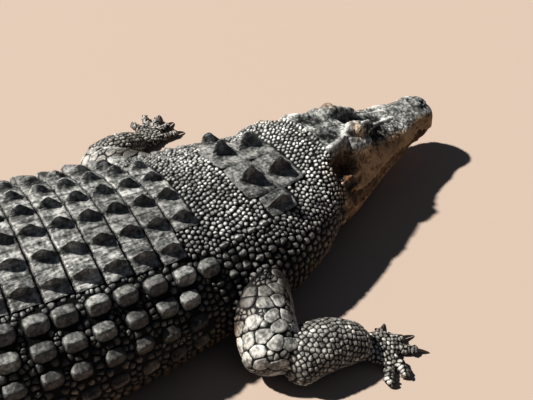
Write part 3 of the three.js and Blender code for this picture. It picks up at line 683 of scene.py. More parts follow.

# %% [markdown]
# ## Rugged hide over bone
# There is hardly any flesh between the skin and the skull, so the head is covered by low knobs about two
# centimetres wide with furrows between them, and by a finer grain. It repeats all over the head, so it is
# done by Geometry Nodes: a cell pattern gives the knobs, a noise the grain, and both push the skin along
# its normal where a stored share tells how rugged it is. The lips and the jaw's sides are smoother and
# carry small dark pits, which are the organs of touch. The height of the pattern is kept as well, so that
# the furrows and pits are painted darker than the knobs, as painted shade.

# %% The tree of rugged hide
def rugged_tree():
    """Knobs and grain where the skin stores a share for them, and pits where it stores one for those."""
    tree, given = new_group(
        "rugged hide", "GeometryNodeTree", "Geometry", Geometry=None, Knob_width=0.015,
        Knob_height=0.0022, Grain_height=0.0012, Pit_depth=0.0012)
    per_metre = add_node(tree, MATH, {0: 1.0, 1: given.outputs["Knob width"]}, operation="DIVIDE")
    where = add_node(tree, "GeometryNodeInputPosition")
    bend = add_node(tree, NOISE, {"Vector": where, "Scale": 30.0, "Detail": 1.0})
    bent = add_node(
        tree, VECTOR_MATH, {0: bend.outputs["Color"], 1: (0.02, 0.02, 0.02), 2: where},
        operation="MULTIPLY_ADD")
    cells = add_node(
        tree, "ShaderNodeTexVoronoi", {"Vector": bent, "Scale": per_metre}, feature="DISTANCE_TO_EDGE")
    knob = add_node(
        tree, MAP_RANGE, {"Value": cells, "From Min": 0.0, "From Max": 0.32},
        interpolation_type="SMOOTHSTEP")
    knob_level = add_node(tree, MATH, {0: knob, 1: 0.55}, operation="SUBTRACT")
    raised = add_node(tree, MATH, {0: knob_level, 1: given.outputs["Knob height"]}, operation="MULTIPLY")
    grain = add_node(tree, NOISE, {"Vector": where, "Scale": 95.0, "Detail": 3.0, "Roughness": 0.6})
    level = add_node(tree, MATH, {0: grain, 1: 2.0, 2: -1.0}, operation="MULTIPLY_ADD")
    both = add_node(
        tree, MATH, {0: level, 1: given.outputs["Grain height"], 2: raised}, operation="MULTIPLY_ADD")
    share, pitted = [
        add_node(tree, STORED, {"Name": word}, data_type="FLOAT") for word in ("rugged", "pitted")]
    masked = add_node(tree, MATH, {0: both, 1: share}, operation="MULTIPLY")
    dots = add_node(tree, "ShaderNodeTexVoronoi", {"Vector": where, "Scale": 42.0, "Randomness": 0.75})
    pit = add_node(
        tree, MAP_RANGE, {"Value": dots, "From Min": 0.1, "From Max": 0.24, "To Min": 1.0, "To Max": 0.0},
        interpolation_type="SMOOTHSTEP")
    pit_share = add_node(tree, MATH, {0: pit, 1: pitted}, operation="MULTIPLY")
    pit_depth = add_node(tree, MATH, {0: pit_share, 1: given.outputs["Pit depth"]}, operation="MULTIPLY")
    total = add_node(tree, MATH, {0: masked, 1: pit_depth}, operation="SUBTRACT")
    kept = add_node(
        tree, "GeometryNodeStoreNamedAttribute",
        {"Geometry": given.outputs["Geometry"], "Name": "bumps", "Value": total}, data_type="FLOAT",
        domain="POINT")
    bumps = add_node(tree, STORED, {"Name": "bumps"}, data_type="FLOAT")
    outward = add_node(tree, "GeometryNodeInputNormal")
    offset = add_node(tree, VECTOR_MATH, {0: outward, "Scale": bumps}, operation="SCALE")
    moved = add_node(tree, "GeometryNodeSetPosition", {"Geometry": kept, "Offset": offset})
    add_node(tree, "NodeGroupOutput", {"Geometry": moved})
    return tree


def store(mesh, name, values):
    """Keeps a number, or a row of three, for every point of a mesh."""
    values = np.asarray(values, np.float32)
    kind, what = ("FLOAT", "value") if values.ndim == 1 else ("FLOAT_VECTOR", "vector")
    mesh.attributes.new(name, kind, "POINT").data.foreach_set(what, values.ravel())

# %% Knobs, grain and pits on the head
side, station, height = head_place(skin_points)
away = np.abs(side)
above_lip = height - mouth_height(station)
on_side = 1 - ramp(above_lip, 0.05, 0.11)
near_eye = ridge(np.hypot(np.hypot(station - EYE_STATION, away - EYE_SIDE), height - EYE_LEVEL), 0.05)
cheek_knobs = ridge(np.hypot((station - 0.42) / 2.2, away - 0.13), 0.06)
store(
    hide.data, "rugged", head_share * (0.55 + 0.9 * cheek_knobs) * (1 - 0.75 * on_side)
    * (1 - 0.6 * near_eye))
store(hide.data, "pitted", head_share * on_side * (1 - ramp(station, 0.7, 0.95)))
rugged = hide.modifiers.new("rugged", "NODES")
rugged.node_group = rugged_tree()
hide.data = evaluated(hide)
bumps = read(hide.data.attributes["bumps"].data, "value")
print("knobs and pits, mm:", (bumps.min() * 1000).round(1), "to", (bumps.max() * 1000).round(1))

# %% [markdown]
# ## Eyes and lids
# A crocodile's eye stands high on the side of the head, under a bony brow. The ball is smooth and wet,
# about four centimetres across, with a yellow-green iris and a pupil that is a slit by day. The lids wrap
# the ball in fine folds that run round the opening. Each lid ring is one closed band of points: its inner
# edge is tucked against the ball, the lip is thick and round, and its outer edge goes down under the brow.
# The skin itself gives way where the ball sits.

# %% Eye sockets
EYE_OUTWARD = np.array([0.86, -0.28, 0.42])  # to the side, forward (which is negative) and up
LID_SPREAD = math.radians(104)  # how far round the ball the lids reach
LID_ANGLES, LID_RINGS = 72, 18


def eye_frame(half):
    """Centre of an eye and its outward, rearward and upward directions."""
    centre = on_head(EYE_STATION, half * EYE_SIDE, EYE_LEVEL)
    outward = head_axes @ (EYE_OUTWARD * [half, 1, 1] / np.linalg.norm(EYE_OUTWARD))
    rear = head_axes @ np.array([0.0, 1.0, 0.0])
    rear = rear - outward * (rear @ outward)
    rear /= np.linalg.norm(rear)
    up_ = np.cross(outward, rear) * -half
    return centre, outward, rear, up_ * np.sign(up_[2])


ball = EYE_RADIUS * HEAD
skin_points = point_array(hide.data)
for half in (1, -1):
    centre, outward, rear, _ = eye_frame(half)
    offset = skin_points - centre
    distance = np.linalg.norm(offset, axis=1)
    angle = np.degrees(np.arccos(np.clip(offset @ outward / distance, -1, 1)))
    wanted = ball * np.interp(angle, [0, 50, 64, 78, 92], [0.84, 0.86, 1.0, 1.1, 1.6])
    inside = (distance > wanted) & (distance < 2.0 * ball) & (angle < 90)
    skin_points[inside] = centre + offset[inside] / distance[inside, None] * wanted[inside, None]
set_points(hide.data, skin_points)

# %% Lids
def lid_ring(half):
    """Points and faces of the two lids of one eye, as rings from the opening outwards."""
    centre, outward, rear, upward = eye_frame(half)
    round_ = np.arange(LID_ANGLES) * 2 * np.pi / LID_ANGLES
    tall = np.radians(np.where(np.sin(round_) > 0, 25, 19))
    opening = (
        (np.abs(np.cos(round_)) / math.radians(47)) ** 1.5
        + (np.abs(np.sin(round_)) / tall) ** 1.5) ** (-1 / 1.5)
    rows = []
    for t in np.concatenate([[0, 0.012, 0.035, 0.07], np.linspace(0.11, 1, LID_RINGS - 4)]):
        spread = opening + (LID_SPREAD - opening) * t
        folds = 0.016 * np.cos(2 * np.pi * (4.2 * t + 0.03 * np.sin(3 * round_))) * ramp(t, 0.05, 0.2)
        level = np.interp(
            t, [0, 0.012, 0.035, 0.07, 0.16, 0.5, 0.85, 1],
            [0.985, 1.045, 1.075, 1.08, 1.065, 1.1, 1.07, 0.9])
        reach_ = ball * (level + folds)
        flat = rear[None] * np.cos(round_)[:, None] + upward[None] * np.sin(round_)[:, None]
        rows.append(
            centre + (outward[None] * np.cos(spread)[:, None] + flat * np.sin(spread)[:, None])
            * reach_[:, None])
    points = np.array(rows)
    quads = closed_rows(LID_RINGS, LID_ANGLES)[2]
    facing = np.cross(points[1, 1] - points[1, 0], points[2, 0] - points[1, 0]) @ outward
    return points.reshape(-1, 3), quads if facing < 0 else quads[:, ::-1]


lids = [lid_ring(half) for half in (1, -1)]
lid_mesh = make_mesh(
    "lids", np.vstack([points for points, _ in lids]),
    [np.vstack([lids[0][1], lids[1][1] + len(lids[0][0])])])
joined_skin = bmesh.new()
joined_skin.from_mesh(hide.data)
joined_skin.from_mesh(lid_mesh)
joined_skin.to_mesh(hide.data)
joined_skin.free()
hide.data.shade_smooth()
lid_tone = 0.06 * np.cos(np.arange(len(lid_mesh.vertices)) // LID_ANGLES % LID_RINGS * 1.7)
# painted shade and highlight: the head's tone drops where the sculpt and the knobs sink the skin, in
# furrows, pits, grooves and the mouth line, and rises on ridges and knobs; the lids get bands
skin_tone = np.concatenate([np.clip(push / 0.006, -0.35, 0.3) + bumps / 0.0042, lid_tone])
print("lids:", len(lid_mesh.polygons), "faces")

# %% Eyeballs
def add_map(mesh, name, places):
    """A UV map that gives every point one place."""
    corner = read(mesh.loops, "vertex_index", 1, np.int32)
    mesh.uv_layers.new(name=name).data.foreach_set("uv", places[corner].astype(np.float32).ravel())


BALL_ANGLES, BALL_ROWS = 48, 28


def eyeball(name, half):
    """A smooth ball with a low cornea, and a map of its front, whose middle is at 0.5, 0.5."""
    centre, outward, rear, upward = eye_frame(half)
    round_ = np.arange(BALL_ANGLES) * 2 * np.pi / BALL_ANGLES
    away_ = np.linspace(0, math.pi, BALL_ROWS + 1)[1:-1, None]
    size = ball * (0.985 + 0.03 * np.exp(-(away_ / 0.5) ** 2))
    local = np.stack(
        [np.cos(away_) + 0 * round_, np.sin(away_) * np.cos(round_), np.sin(away_) * np.sin(round_)], -1)
    local = np.vstack(
        [(local * size[..., None]).reshape(-1, 3), [[1.015 * ball, 0, 0], [-0.985 * ball, 0, 0]]])
    grid, over, quads = closed_rows(BALL_ROWS - 1, BALL_ANGLES)
    front, rear_end = len(local) - 2, len(local) - 1
    caps = np.vstack(
        [np.stack([np.full(BALL_ANGLES, front), grid[0], over[0]], -1),
        np.stack([np.full(BALL_ANGLES, rear_end), over[-1], grid[-1]], -1)])
    axes = np.array([outward, rear, upward])
    if np.linalg.det(axes) < 0:
        quads, caps = quads[:, ::-1], caps[:, ::-1]
    mesh = make_mesh(name, centre + local @ axes, [quads, caps])

    flat = np.arccos(np.clip(local[:, 0] / np.linalg.norm(local, axis=1), -1, 1))[:, None] / math.pi
    spread = local[:, 1:] / (np.linalg.norm(local[:, 1:], axis=1, keepdims=True) + 1e-9)
    add_map(mesh, "eye front", 0.5 + flat * spread)
    return add_piece(name, mesh)


eyes = {name: eyeball(name + "_ball", half) for name, half in (("eye_left", 1), ("eye_right", -1))}

# %% Claws
CLAW_REACH = (-0.014, 0.05)  # from the digit's end, in head lengths
CLAWED = 3  # the outer digits of every foot end without a claw


def claw_tube(root, tip, thickness):
    """Rows of points round a claw that bends down to the floor."""
    direction = np.array([tip[0] - root[0], tip[1] - root[1]])
    direction /= np.linalg.norm(direction)
    t = np.linspace(0, 1, 14)
    reach_ = CLAW_REACH[0] + (CLAW_REACH[1] - CLAW_REACH[0]) * t
    centre = place(
        tip[0] + direction[0] * reach_, tip[1] + direction[1] * reach_,
        thickness * (0.72 - 0.1 * t) - 0.012 * t * t)
    radius = HEAD * thickness * (0.5 * (1 - t) ** 0.75 + 0.03)
    points = oval_tube(centre, 0.6 * radius, radius, 19)
    points[..., 2] = np.maximum(points[..., 2], 0)
    return points


claws = {}
for leg_name, leg in LEGS.items():
    tubes = [claw_tube(*digit, DIGIT_THICKNESS[leg_name[:4]]) for digit in leg["digits"][:CLAWED]]
    name = "claws_" + leg["foot"]
    claws[leg["foot"]] = add_piece(name, joined_tubes(name, tubes))
print("claws:", CLAWED * len(claws))

# %% [markdown]
# ## Teeth
# With the mouth closed, the upper teeth of a crocodile stand outside the lower lip, and the big fourth
# tooth of the lower jaw stands in a notch behind the nose. They are one form in several sizes, so one cone
# is set by Geometry Nodes on points along the lip.

# %% Teeth
# station, mm
UPPER_TEETH = [
    (0.075, 6), (0.1, 8), (0.135, 9), (0.17, 7), (0.27, 6), (0.305, 9), (0.345, 12), (0.39, 10),
    (0.435, 7), (0.48, 8), (0.53, 8), (0.58, 6), (0.63, 5)]
LOWER_TEETH = [(0.212, 13)]


def copies_on_points(tree, points, form, size, primary, secondary):
    """Copies of a form on points, turned and sized by the directions and the size that the points store."""
    asked = {
        word: add_node(tree, STORED, {"Name": word}, data_type="FLOAT_VECTOR")
        for word in (size, primary, secondary)}
    turn = add_node(
        tree, "FunctionNodeAxesToRotation", {"Primary Axis": asked[primary],
        "Secondary Axis": asked[secondary]}, primary_axis="Z", secondary_axis="X")
    copies = add_node(
        tree, "GeometryNodeInstanceOnPoints", {"Points": points, "Instance": form, "Rotation": turn,
        "Scale": asked[size]})
    return add_node(tree, "GeometryNodeRealizeInstances", {"Geometry": copies})


def finished_group(tree, form, finish):
    """Ends a tree of Geometry Nodes: smooth shading, then the material."""
    smooth = add_node(tree, "GeometryNodeSetShadeSmooth", {"Geometry": form})
    finished = add_node(tree, "GeometryNodeSetMaterial", {"Geometry": smooth, "Material": finish})
    add_node(tree, "NodeGroupOutput", {"Geometry": finished})


def teeth_tree(finish):
    """A cone on each point, turned and sized by what the point stores."""
    tree, given = new_group("teeth", "GeometryNodeTree", "Geometry", Geometry=None, Sides=12)
    cone = add_node(
        tree, "GeometryNodeMeshCone", {"Vertices": given.outputs["Sides"], "Side Segments": 4,
        "Radius Top": 0.03, "Radius Bottom": 0.24, "Depth": 1.0})
    real = copies_on_points(tree, given, cone, "tooth size", "point", "beside")
    finished_group(tree, real, finish)
    return tree


enamel, _, _ = new_finish("tooth enamel", Base_Color=linear("#b3a078"), Roughness=0.35, IOR=1.62)

head_skin = BVHTree.FromObject(hide, bpy.context.evaluated_depsgraph_get())
roots, points_to, sizes = [], [], []
for teeth, way in ((UPPER_TEETH, -1), (LOWER_TEETH, 1)):
    for tooth_station, length in teeth:
        for half in (1, -1):
            level = float(mouth_height(np.array([tooth_station]))[0]) - 0.006 * way
            start = on_head(tooth_station, 0.0, level)
            sideways = head_axes @ np.array([float(half), -0.9 * float(tooth_station < 0.09), 0.0])
            hit = head_skin.ray_cast(start, sideways / np.linalg.norm(sideways))[0]
            direction = head_axes @ np.array([0.22 * half, -0.1, 1.0 * way])
            direction /= np.linalg.norm(direction)
            roots.append(np.array(hit) - sideways * 0.0015 + direction * 0.15 * length / 1000)
            points_to.append(direction)
            sizes.append(length / 1000)
tooth_mesh = bpy.data.meshes.new("teeth")
tooth_mesh.from_pydata(np.array(roots).tolist(), [], [])
store(tooth_mesh, "point", points_to)
store(tooth_mesh, "beside", [tuple(head_axes[:, 1])] * len(roots))
store(tooth_mesh, "tooth size", np.array(sizes)[:, None] * [1.0, 1.0, 1.25])
teeth_piece = add_piece("teeth", tooth_mesh)
growing = teeth_piece.modifiers.new("teeth", "NODES")
growing.node_group = teeth_tree(enamel)
teeth_piece.data = evaluated(teeth_piece)
print("teeth:", len(roots))

# %% [markdown]
# ## Where the scales stand
# Scales grow in rows. On the neck they are small beads, on the back large plates, on the flanks files of
# smaller scales, and on the tail whorls. A scatter would look like gravel, so every region is laid out as
# rows of seeds. Each seed has a size across and along the body, and is pressed on to the skin. Seeds that
# end up inside another part, such as those of the flank under the shoulder, are dropped.

# %% Seeds
UNWRAP = 0.13  # of the unwrap's width for each head length of hide
BODY_CORNER = (0.0, 0.22)  # of the unwrap, for the snout end of the body's upper line
hide_tree = BVHTree.FromObject(hide, bpy.context.evaluated_depsgraph_get())
seeds = []
SEED_COLUMNS = ("along", "across", "height", "crown", "rounding", "gap", "keel")


def press_on_skin(points, limit):
    """The nearest places on the skin, the skin's directions there, and which of them are near enough."""
    found = [hide_tree.find_nearest(point) for point in points]
    places = np.array([hit[0] for hit in found])
    outward = np.array([hit[1] for hit in found])
    return places, outward, np.array([hit[3] for hit in found]) < limit


def lay_seeds(group, along, girth, sizes, limit=0.013, surface=body_hide, corner=BODY_CORNER, scale=UNWRAP):
    """Adds seeds at distances along and round a hide; sizes holds a value or an array for each column."""
    points = surface.read("points", along, girth)
    back = surface.read("back", along, girth)
    places, outward, near = press_on_skin(points, limit)
    near &= ~((places[:, 2] < 0.002) & (outward[:, 2] < -0.5))
    root = np.stack([corner[0] + along / HEAD * scale, corner[1] + girth / HEAD * scale], -1)
    values = np.stack([np.broadcast_to(sizes[name], along.shape) for name in SEED_COLUMNS], -1)
    seeds.append(
        {"group": np.full(near.sum(), group), "point": places[near], "outward": outward[near],
        "back": back[near], "values": values[near].astype(float), "root": root[near]})


def rows_of_seeds(rows, spacing, low, high, stagger, jitter):
    """Distances along and round for rows of seeds; staggered rows are set over by half a space in turn."""
    along, girth = [], []
    for n, row in enumerate(rows):
        first, last = low(row), high(row)
        if last - first < spacing * 0.5:
            continue
        count = max(1, round((last - first) / spacing))
        shift = 0.5 if stagger and n % 2 else 0.0
        places = first + (np.arange(count + round(2 * shift)) + 0.5 - shift) * (last - first) / count
        along.append(np.full(len(places), row) + chance.normal(0, jitter * spacing, len(places)))
        girth.append(places + chance.normal(0, jitter * spacing, len(places)))
    return np.concatenate(along), np.concatenate(girth)

# %% [markdown]
# ### The back and the nuchal shield
# Down the back run bands of large plates, six across, each with a thin upright keel along its middle. They
# lie edge to edge with a groove between bands, darkened by painted shade. On the neck stands a separate
# cluster: four tall keels in a square, with a smaller one at each side, on a smooth shield.

# %% Places of the plates
SCUTE_PITCH = 0.112  # head lengths, one band for each vertebra
SCUTE_SPACING = 0.119  # from keel to keel across the back
FIRST_BAND, BANDS = 1.815, 16
KEEL_COLUMNS = (0.5, 1.5, 2.45)
TAIL_WHORLS, DOUBLE_WHORLS = 38, 18
FIRST_WHORL, LAST_WHORL = 3.602, 7.04


def narrowing(s):
    """How the bands draw together over the hips."""
    return 1 - 0.28 * np.clip(((s - FIRST_BAND) / SCUTE_PITCH - 7) / (BANDS - 8), 0, 1)


def girth_at_side(s, side):
    """Metres round from the back's line to a point that lies this many head lengths out to the side."""
    around = np.linspace(-0.5, 0.5, 241)
    half_width, top, bottom, widest = value_at(BODY, np.array([s]))[0]
    sides, heights = section(around, half_width, top, bottom, widest, BACK_ROUNDNESS, BELLY_ROUNDNESS)
    steps = np.hypot(np.diff(sides), np.diff(heights))
    travelled = np.concatenate([[0], np.cumsum(steps)])
    return float(np.interp(side, sides, travelled - travelled[120])) * HEAD


def whorl_station(whorl):
    """The station of a ring of tail scales: the rings crowd together towards the tip."""
    t = whorl / (TAIL_WHORLS - 1)
    return FIRST_WHORL + (LAST_WHORL - FIRST_WHORL) * (1.12 * t - 0.12 * t * t)


# each plate: station, girth in metres, and in head lengths its half length, half width and keel height
plates = []
for band in range(BANDS):
    s = FIRST_BAND + band * SCUTE_PITCH
    for k, column in enumerate(KEEL_COLUMNS):
        if band == 0 and k == 2:
            continue  # the first band is four plates wide
        for half in (1, -1):
            girth = girth_at_side(s, half * column * SCUTE_SPACING * narrowing(s))
            plates.append(
                (s, girth, SCUTE_PITCH / 2, SCUTE_SPACING * narrowing(s) / 2 * 1.04, 0.049 - 0.002 * k))
nape_plates = []
for half in (1, -1):
    for s, side, length, width, rise in [
            (1.262, 0.1, 0.09, 0.106, 0.08), (1.42, 0.1, 0.088, 0.106, 0.08),
            (1.375, 0.25, 0.084, 0.06, 0.06)]:
        nape_plates.append((s, girth_at_side(s, half * side), length, width, rise))
crests = []
for whorl in range(TAIL_WHORLS):
    s = whorl_station(whorl)
    pitch = whorl_station(whorl + 1) - s
    if whorl < DOUBLE_WHORLS:
        share = whorl / DOUBLE_WHORLS
        side = 0.115 + (0.03 - 0.115) * share ** 0.8
        for half in (1, -1):
            crests.append((s, girth_at_side(s, half * side), pitch / 2, 0.034, 0.05 + 0.055 * share))
    else:
        share = (whorl - DOUBLE_WHORLS) / (TAIL_WHORLS - DOUBLE_WHORLS)
        crests.append((s, 0.0, pitch / 2, 0.028 - 0.014 * share, 0.13 - 0.1 * share))
print("plates:", len(plates), "crest scutes:", len(crests))

# %% Rows of seeds over the body
def kind(along, across, height, crown, rounding, gap, keel=0.0):
    """Half sizes and height of one kind of scale, all in millimetres except crown and rounding."""
    return {
        "along": along / 1000, "across": across / 1000, "height": height / 1000, "crown": crown,
        "rounding": rounding, "gap": gap / 1000, "keel": keel / 1000}


plate_edge = lambda along: abs(girth_at_side(along / HEAD, 2.98 * SCUTE_SPACING * narrowing(along / HEAD)))


def both_sides(along, girth):
    """The same places on the animal's left and right."""
    return np.concatenate([along, along]), np.concatenate([girth, -girth])


def reach(*corners):
    """A limit of girth, in metres, from pairs of station and head lengths."""
    stations, limits = np.array(corners).T
    return lambda along: float(np.interp(along / HEAD, stations, limits)) * HEAD


def lay_rows(group, stations, spacing, low, high, sizes, jitter=0.16, stagger=True, limit=0.013):
    """Rows of one kind of scale on both sides of the body, between two limits of girth."""
    along, girth = both_sides(*rows_of_seeds(stations * HEAD, spacing, low, high, stagger, jitter))
    lay_seeds(group, along, girth, sizes, limit)


# two lines of larger keeled scales on each side of the neck, from the nape shield to the flank's upper
# column
for stations, sides, length, keel in (
        ((1.5, 1.78, 5), (0.33, 0.37, 5), 17, 6), ((1.46, 1.8, 6), (0.43, 0.5, 6), 15, 5)):
    along, girth = both_sides(np.linspace(*stations) * HEAD, np.linspace(*sides) * HEAD)
    lay_seeds("flank_scales", along, girth, kind(length, 11.5, 7.5, 3, 0.2, 0.6, keel))
# small beads behind the skull table, then those of the neck, then larger ones down its sides
nape_stations = np.linspace(0.88, 1.15, 60)
nape_hide = Hide(nape_stations * HEAD, head_points(nape_stations, np.linspace(-1, 1, 241)))
nape_side = reach((0.95, 0.40), (1.15, 0.44))
along, girth = rows_of_seeds(
    np.arange(1.003, 1.1, 0.0198) * HEAD, 0.0134, lambda row: -nape_side(row), nape_side, True, 0.16)
lay_seeds("neck_beads", along, girth, kind(6.3, 6.6, 4.9, 2.9, 0.6, 0.2), 0.03, nape_hide)
BEAD = kind(6.8, 7.1, 5.4, 2.9, 0.6, 0.2)
BEAD_ROWS, BEAD_SPACING = 0.0210, 0.0143  # head lengths from row to row, metres from bead to bead
neck_top = reach((0.95, 0.42), (1.3, 0.42), (1.6, 0.40), (1.8, 0.36))
along, girth = rows_of_seeds(
    np.arange(1.095, 1.80, BEAD_ROWS) * HEAD, BEAD_SPACING, lambda row: -neck_top(row), neck_top, True,
    0.16)
lay_seeds("neck_beads", along, girth, BEAD, np.where(along < 1.35 * HEAD, 0.04, 0.013))
neck_side = reach((0.95, 0.74), (1.3, 0.78), (1.8, 0.74))
lay_rows(
    "neck_beads", np.arange(1.0, 1.80, 0.0345), 0.0215, neck_top, neck_side,
    kind(10.9, 10.7, 6.2, 2.4, 0.6, 0.6), 0.15, limit=0.02)
# the gap beside the first band, which is four plates wide
lay_rows(
    "neck_beads", np.arange(1.765, 1.875, BEAD_ROWS), BEAD_SPACING, reach((1.7, 0.235), (2, 0.235)),
    reach((1.7, 0.4), (2, 0.4)), BEAD, 0.1)
# flat squarish scales in even rows on the throat
throat = reach((0.95, 1.3), (1.8, 1.5))
lay_rows(
    "neck_beads", np.arange(1.0, 1.80, 0.042), 0.024, neck_side, throat,
    kind(13.2, 12.0, 4.2, 3.4, 0.15, 0.9), 0.05, False)

# flanks: four columns of keeled boxes among granules, then files of smooth scales down to the floor
flank_bands = (FIRST_BAND + SCUTE_PITCH * np.arange(BANDS)) * HEAD
flank_top = lambda along: plate_edge(along) + 0.006
flank_middle = reach((1.8, 0.76), (2.4, 0.80), (3.0, 0.74), (3.63, 0.52))
for n, share in enumerate((0.12, 0.36, 0.61, 0.86)):
    along = flank_bands + chance.normal(0, 0.003, len(flank_bands))
    girth = np.array([flank_top(row) + (flank_middle(row) - flank_top(row)) * share for row in flank_bands])
    along, girth = both_sides(along, girth)
    lay_seeds("flank_scales", along, girth, kind(31 - 2 * n, 26 - 2 * n, 9 - n, 8, 0.0, 0.8, 15 - n))
lay_rows(
    "flank_scales", np.arange(1.80, 3.66, 0.0262), 0.0172, flank_top, flank_middle,
    kind(8.2, 8.6, 5.0, 2.3, 0.6, 0.6))
flank_low = reach((1.8, 1.14), (2.4, 1.2), (3.0, 1.08), (3.63, 0.78))
lay_rows(
    "flank_scales", np.arange(1.80, 3.66, 0.0405), 0.0255, flank_middle, flank_low,
    kind(12.8, 12.8, 4.8, 3.2, 0.15, 1.1), 0.05, False)

# tail: one row of scales for each whorl, narrower towards the tip
for whorl in range(TAIL_WHORLS):
    s = whorl_station(whorl)
    pitch = (whorl_station(whorl + 1) - s) * HEAD
    full = float(body_hide.half_girth(s * HEAD))
    crest_girths, crest_halves = zip(
        *[(girth, half) for place_s, girth, _, half, _ in crests if abs(place_s - s) < 1e-6])
    crest_side, crest_half = max(crest_girths), crest_halves[0] * HEAD
    bare = full - crest_side - crest_half
    count = max(2, round(bare / np.clip(full / 9, 0.012, 0.031)))
    steps = (np.arange(count) + 0.5) / count
    along, girth = both_sides(np.full(count, s * HEAD), crest_side + crest_half + bare * steps)
    down = np.concatenate([steps, steps])
    lay_seeds(
        "tail_scales", along, girth, kind(pitch * 500, bare / count * 500, 3.4 + 1.6 * (1 - down), 4.5,
        0.2, 1.3, 3.5 * np.clip(1 - 2.2 * down, 0, 1)))
    if crest_side > crest_half * 1.3:
        between = crest_side - crest_half
        inner = max(1, round(2 * between / 0.03))
        girth = -between + 2 * between * (np.arange(inner) + 0.5) / inner
        lay_seeds(
            "tail_scales", np.full(inner, s * HEAD), girth,
            kind(pitch * 500, between / inner * 1000, 3.4, 4.5, 0.2, 1.3))
print("body seeds:", sum(len(part["point"]) for part in seeds))

# %% Rows of seeds over the legs
# kind of length: row step and spacing in metres, and the kind of scale
LEG_SCALES = {
    ("fore", "upper"): (0.034, 0.046, kind(17, 23, 3.8, 30, 0.02, 0.2)),
    ("hind", "upper"): (0.031, 0.034, kind(15.5, 17, 3.8, 14, 0.05, 0.3)),
    ("fore", "lower"): (0.0130, 0.0148, kind(6.5, 7.4, 2.8, 3.2, 0.25, 0.4)),
    ("hind", "lower"): (0.017, 0.0195, kind(8.5, 9.8, 3.0, 3.4, 0.25, 0.5)),
    ("fore", "palm"): (0.0120, 0.0145, kind(6.0, 7.2, 2.2, 3.4, 0.3, 0.4)),
    ("hind", "palm"): (0.0145, 0.017, kind(7.2, 8.5, 2.4, 3.4, 0.3, 0.5)),
    ("fore", "digit"): (0.0105, 0.0185, kind(5.3, 9.4, 1.3, 5, 0.1, 0.35)),
    ("hind", "digit"): (0.0120, 0.0210, kind(6.0, 10.6, 1.5, 5, 0.1, 0.4)),
}
LEG_UNWRAP = 0.15
for n, (leg_name, part, distances, tube) in enumerate(leg_tubes):
    surface = Hide(distances, tube)
    step, spacing, sizes = LEG_SCALES[leg_name[:4], part]
    top = lambda row: float(surface.half_girth(row))
    rows = np.arange(step * 0.3, distances[-1], step)
    along, girth = rows_of_seeds(rows, spacing, lambda row: -top(row), top, part != "digit", 0.12)
    corner = (0.03 + 0.096 * (n % 10), 0.50 + 0.125 * (n // 10))
    group = "leg_paw_scales" if part in ("palm", "digit") else leg_name[:4] + "leg_scales"
    limit = 0.008 if part in ("palm", "digit") else np.where(along < 0.3 * distances[-1], 0.008, 0.02)
    lay_seeds(group, along, girth, sizes, limit, surface, corner, LEG_UNWRAP)
seed = {name: np.concatenate([part[name] for part in seeds]) for name in seeds[0]}
print("seeds on body and legs:", len(seed["point"]))

# %% [markdown]
# ## From seeds to scales
# Packed scales meet in straight creases, like soap bubbles, because each grows until it meets its
# neighbours. That is a Voronoi pattern. Blender's Voronoi texture could colour it, but the creases have to
# be real. So each seed looks at its nearest neighbours and reaches in every direction to the line halfway
# between them, or nearer to the smaller of the two. The cell's rim is pressed on to the skin and rings of
# points rise from it to a crown.

# %% Crowding
plate_values = np.array(plates + nape_plates + crests)
rim_share = np.linspace(-1, 1, 6)
rim = np.array([(x, y) for x in rim_share for y in rim_share if max(abs(x), abs(y)) > 0.99]) * 0.9
block_along = (plate_values[:, 0:1] + plate_values[:, 2:3] * rim[:, 0]).ravel() * HEAD
block_girth = (plate_values[:, 1:2] + plate_values[:, 3:4] * rim[:, 1] * HEAD).ravel()
blocks = body_hide.read("points", block_along, block_girth)
plate_spots = (plate_values[:, 0] * HEAD, plate_values[:, 1])
plate_centres, plate_back, plate_out = [
    body_hide.read(what, *plate_spots) for what in ("points", "back", "outward")]

# where two seeds crowd each other, the one laid first stays; none stands on a plate
size = np.sqrt(seed["values"][:, 0] * seed["values"][:, 1])
PLATE_NEAR = 0.12  # metres, farther than any plate reaches from its middle
BOXY_KEEL = 0.0065  # scales with a keel as tall as this are boxes that push the others off their corners
CROWDED = 0.58  # of the two half sizes together
boxy = seed["values"][:, 6] > BOXY_KEEL


def tree_of(points):
    """A tree that finds the nearest of these points."""
    tree = KDTree(len(points))
    for n, point in enumerate(points):
        tree.insert(point, n)
    tree.balance()
    return tree


def share_of_plate(point, k):
    """How far out on plate k a point lies: 1 is the plate's edge."""
    offset = point - plate_centres[k]
    left = np.cross(plate_out[k], plate_back[k])
    along, across = abs(offset @ plate_back[k]), abs(offset @ left)
    return max(along / plate_values[k, 2], across / plate_values[k, 3]) / HEAD


crowd = tree_of(seed["point"])
stays = np.ones(len(size), bool)
for n, point in enumerate(seed["point"]):
    if stays[n] and boxy[n]:
        half = seed["values"][n, :2]
        left = np.cross(seed["outward"][n], seed["back"][n])
        for place_, other, distance in crowd.find_range(point, size[n] * 2):
            offset = np.array(place_) - point
            box_distance = np.abs([offset @ seed["back"][n], offset @ left]) / (half + 0.7 * size[other])
            if not boxy[other] and box_distance.max() < 1:
                stays[other] = False
    elif stays[n]:
        for _, other, distance in crowd.find_range(point, size[n] * 1.15):
            if other > n and distance < CROWDED * (size[n] + size[other]):
                stays[other] = False
plate_tree = tree_of(plate_centres)

for n, point in enumerate(seed["point"]):
    for _, k, distance in plate_tree.find_n(point, 3):
        margin = 0.25 * size[n] / (plate_values[k, 3] * HEAD)
        if distance < PLATE_NEAR and share_of_plate(point, k) < 1.0 + margin:
            stays[n] = False
seed = {name: values[stays] for name, values in seed.items()}
print("seeds kept:", len(seed["point"]))

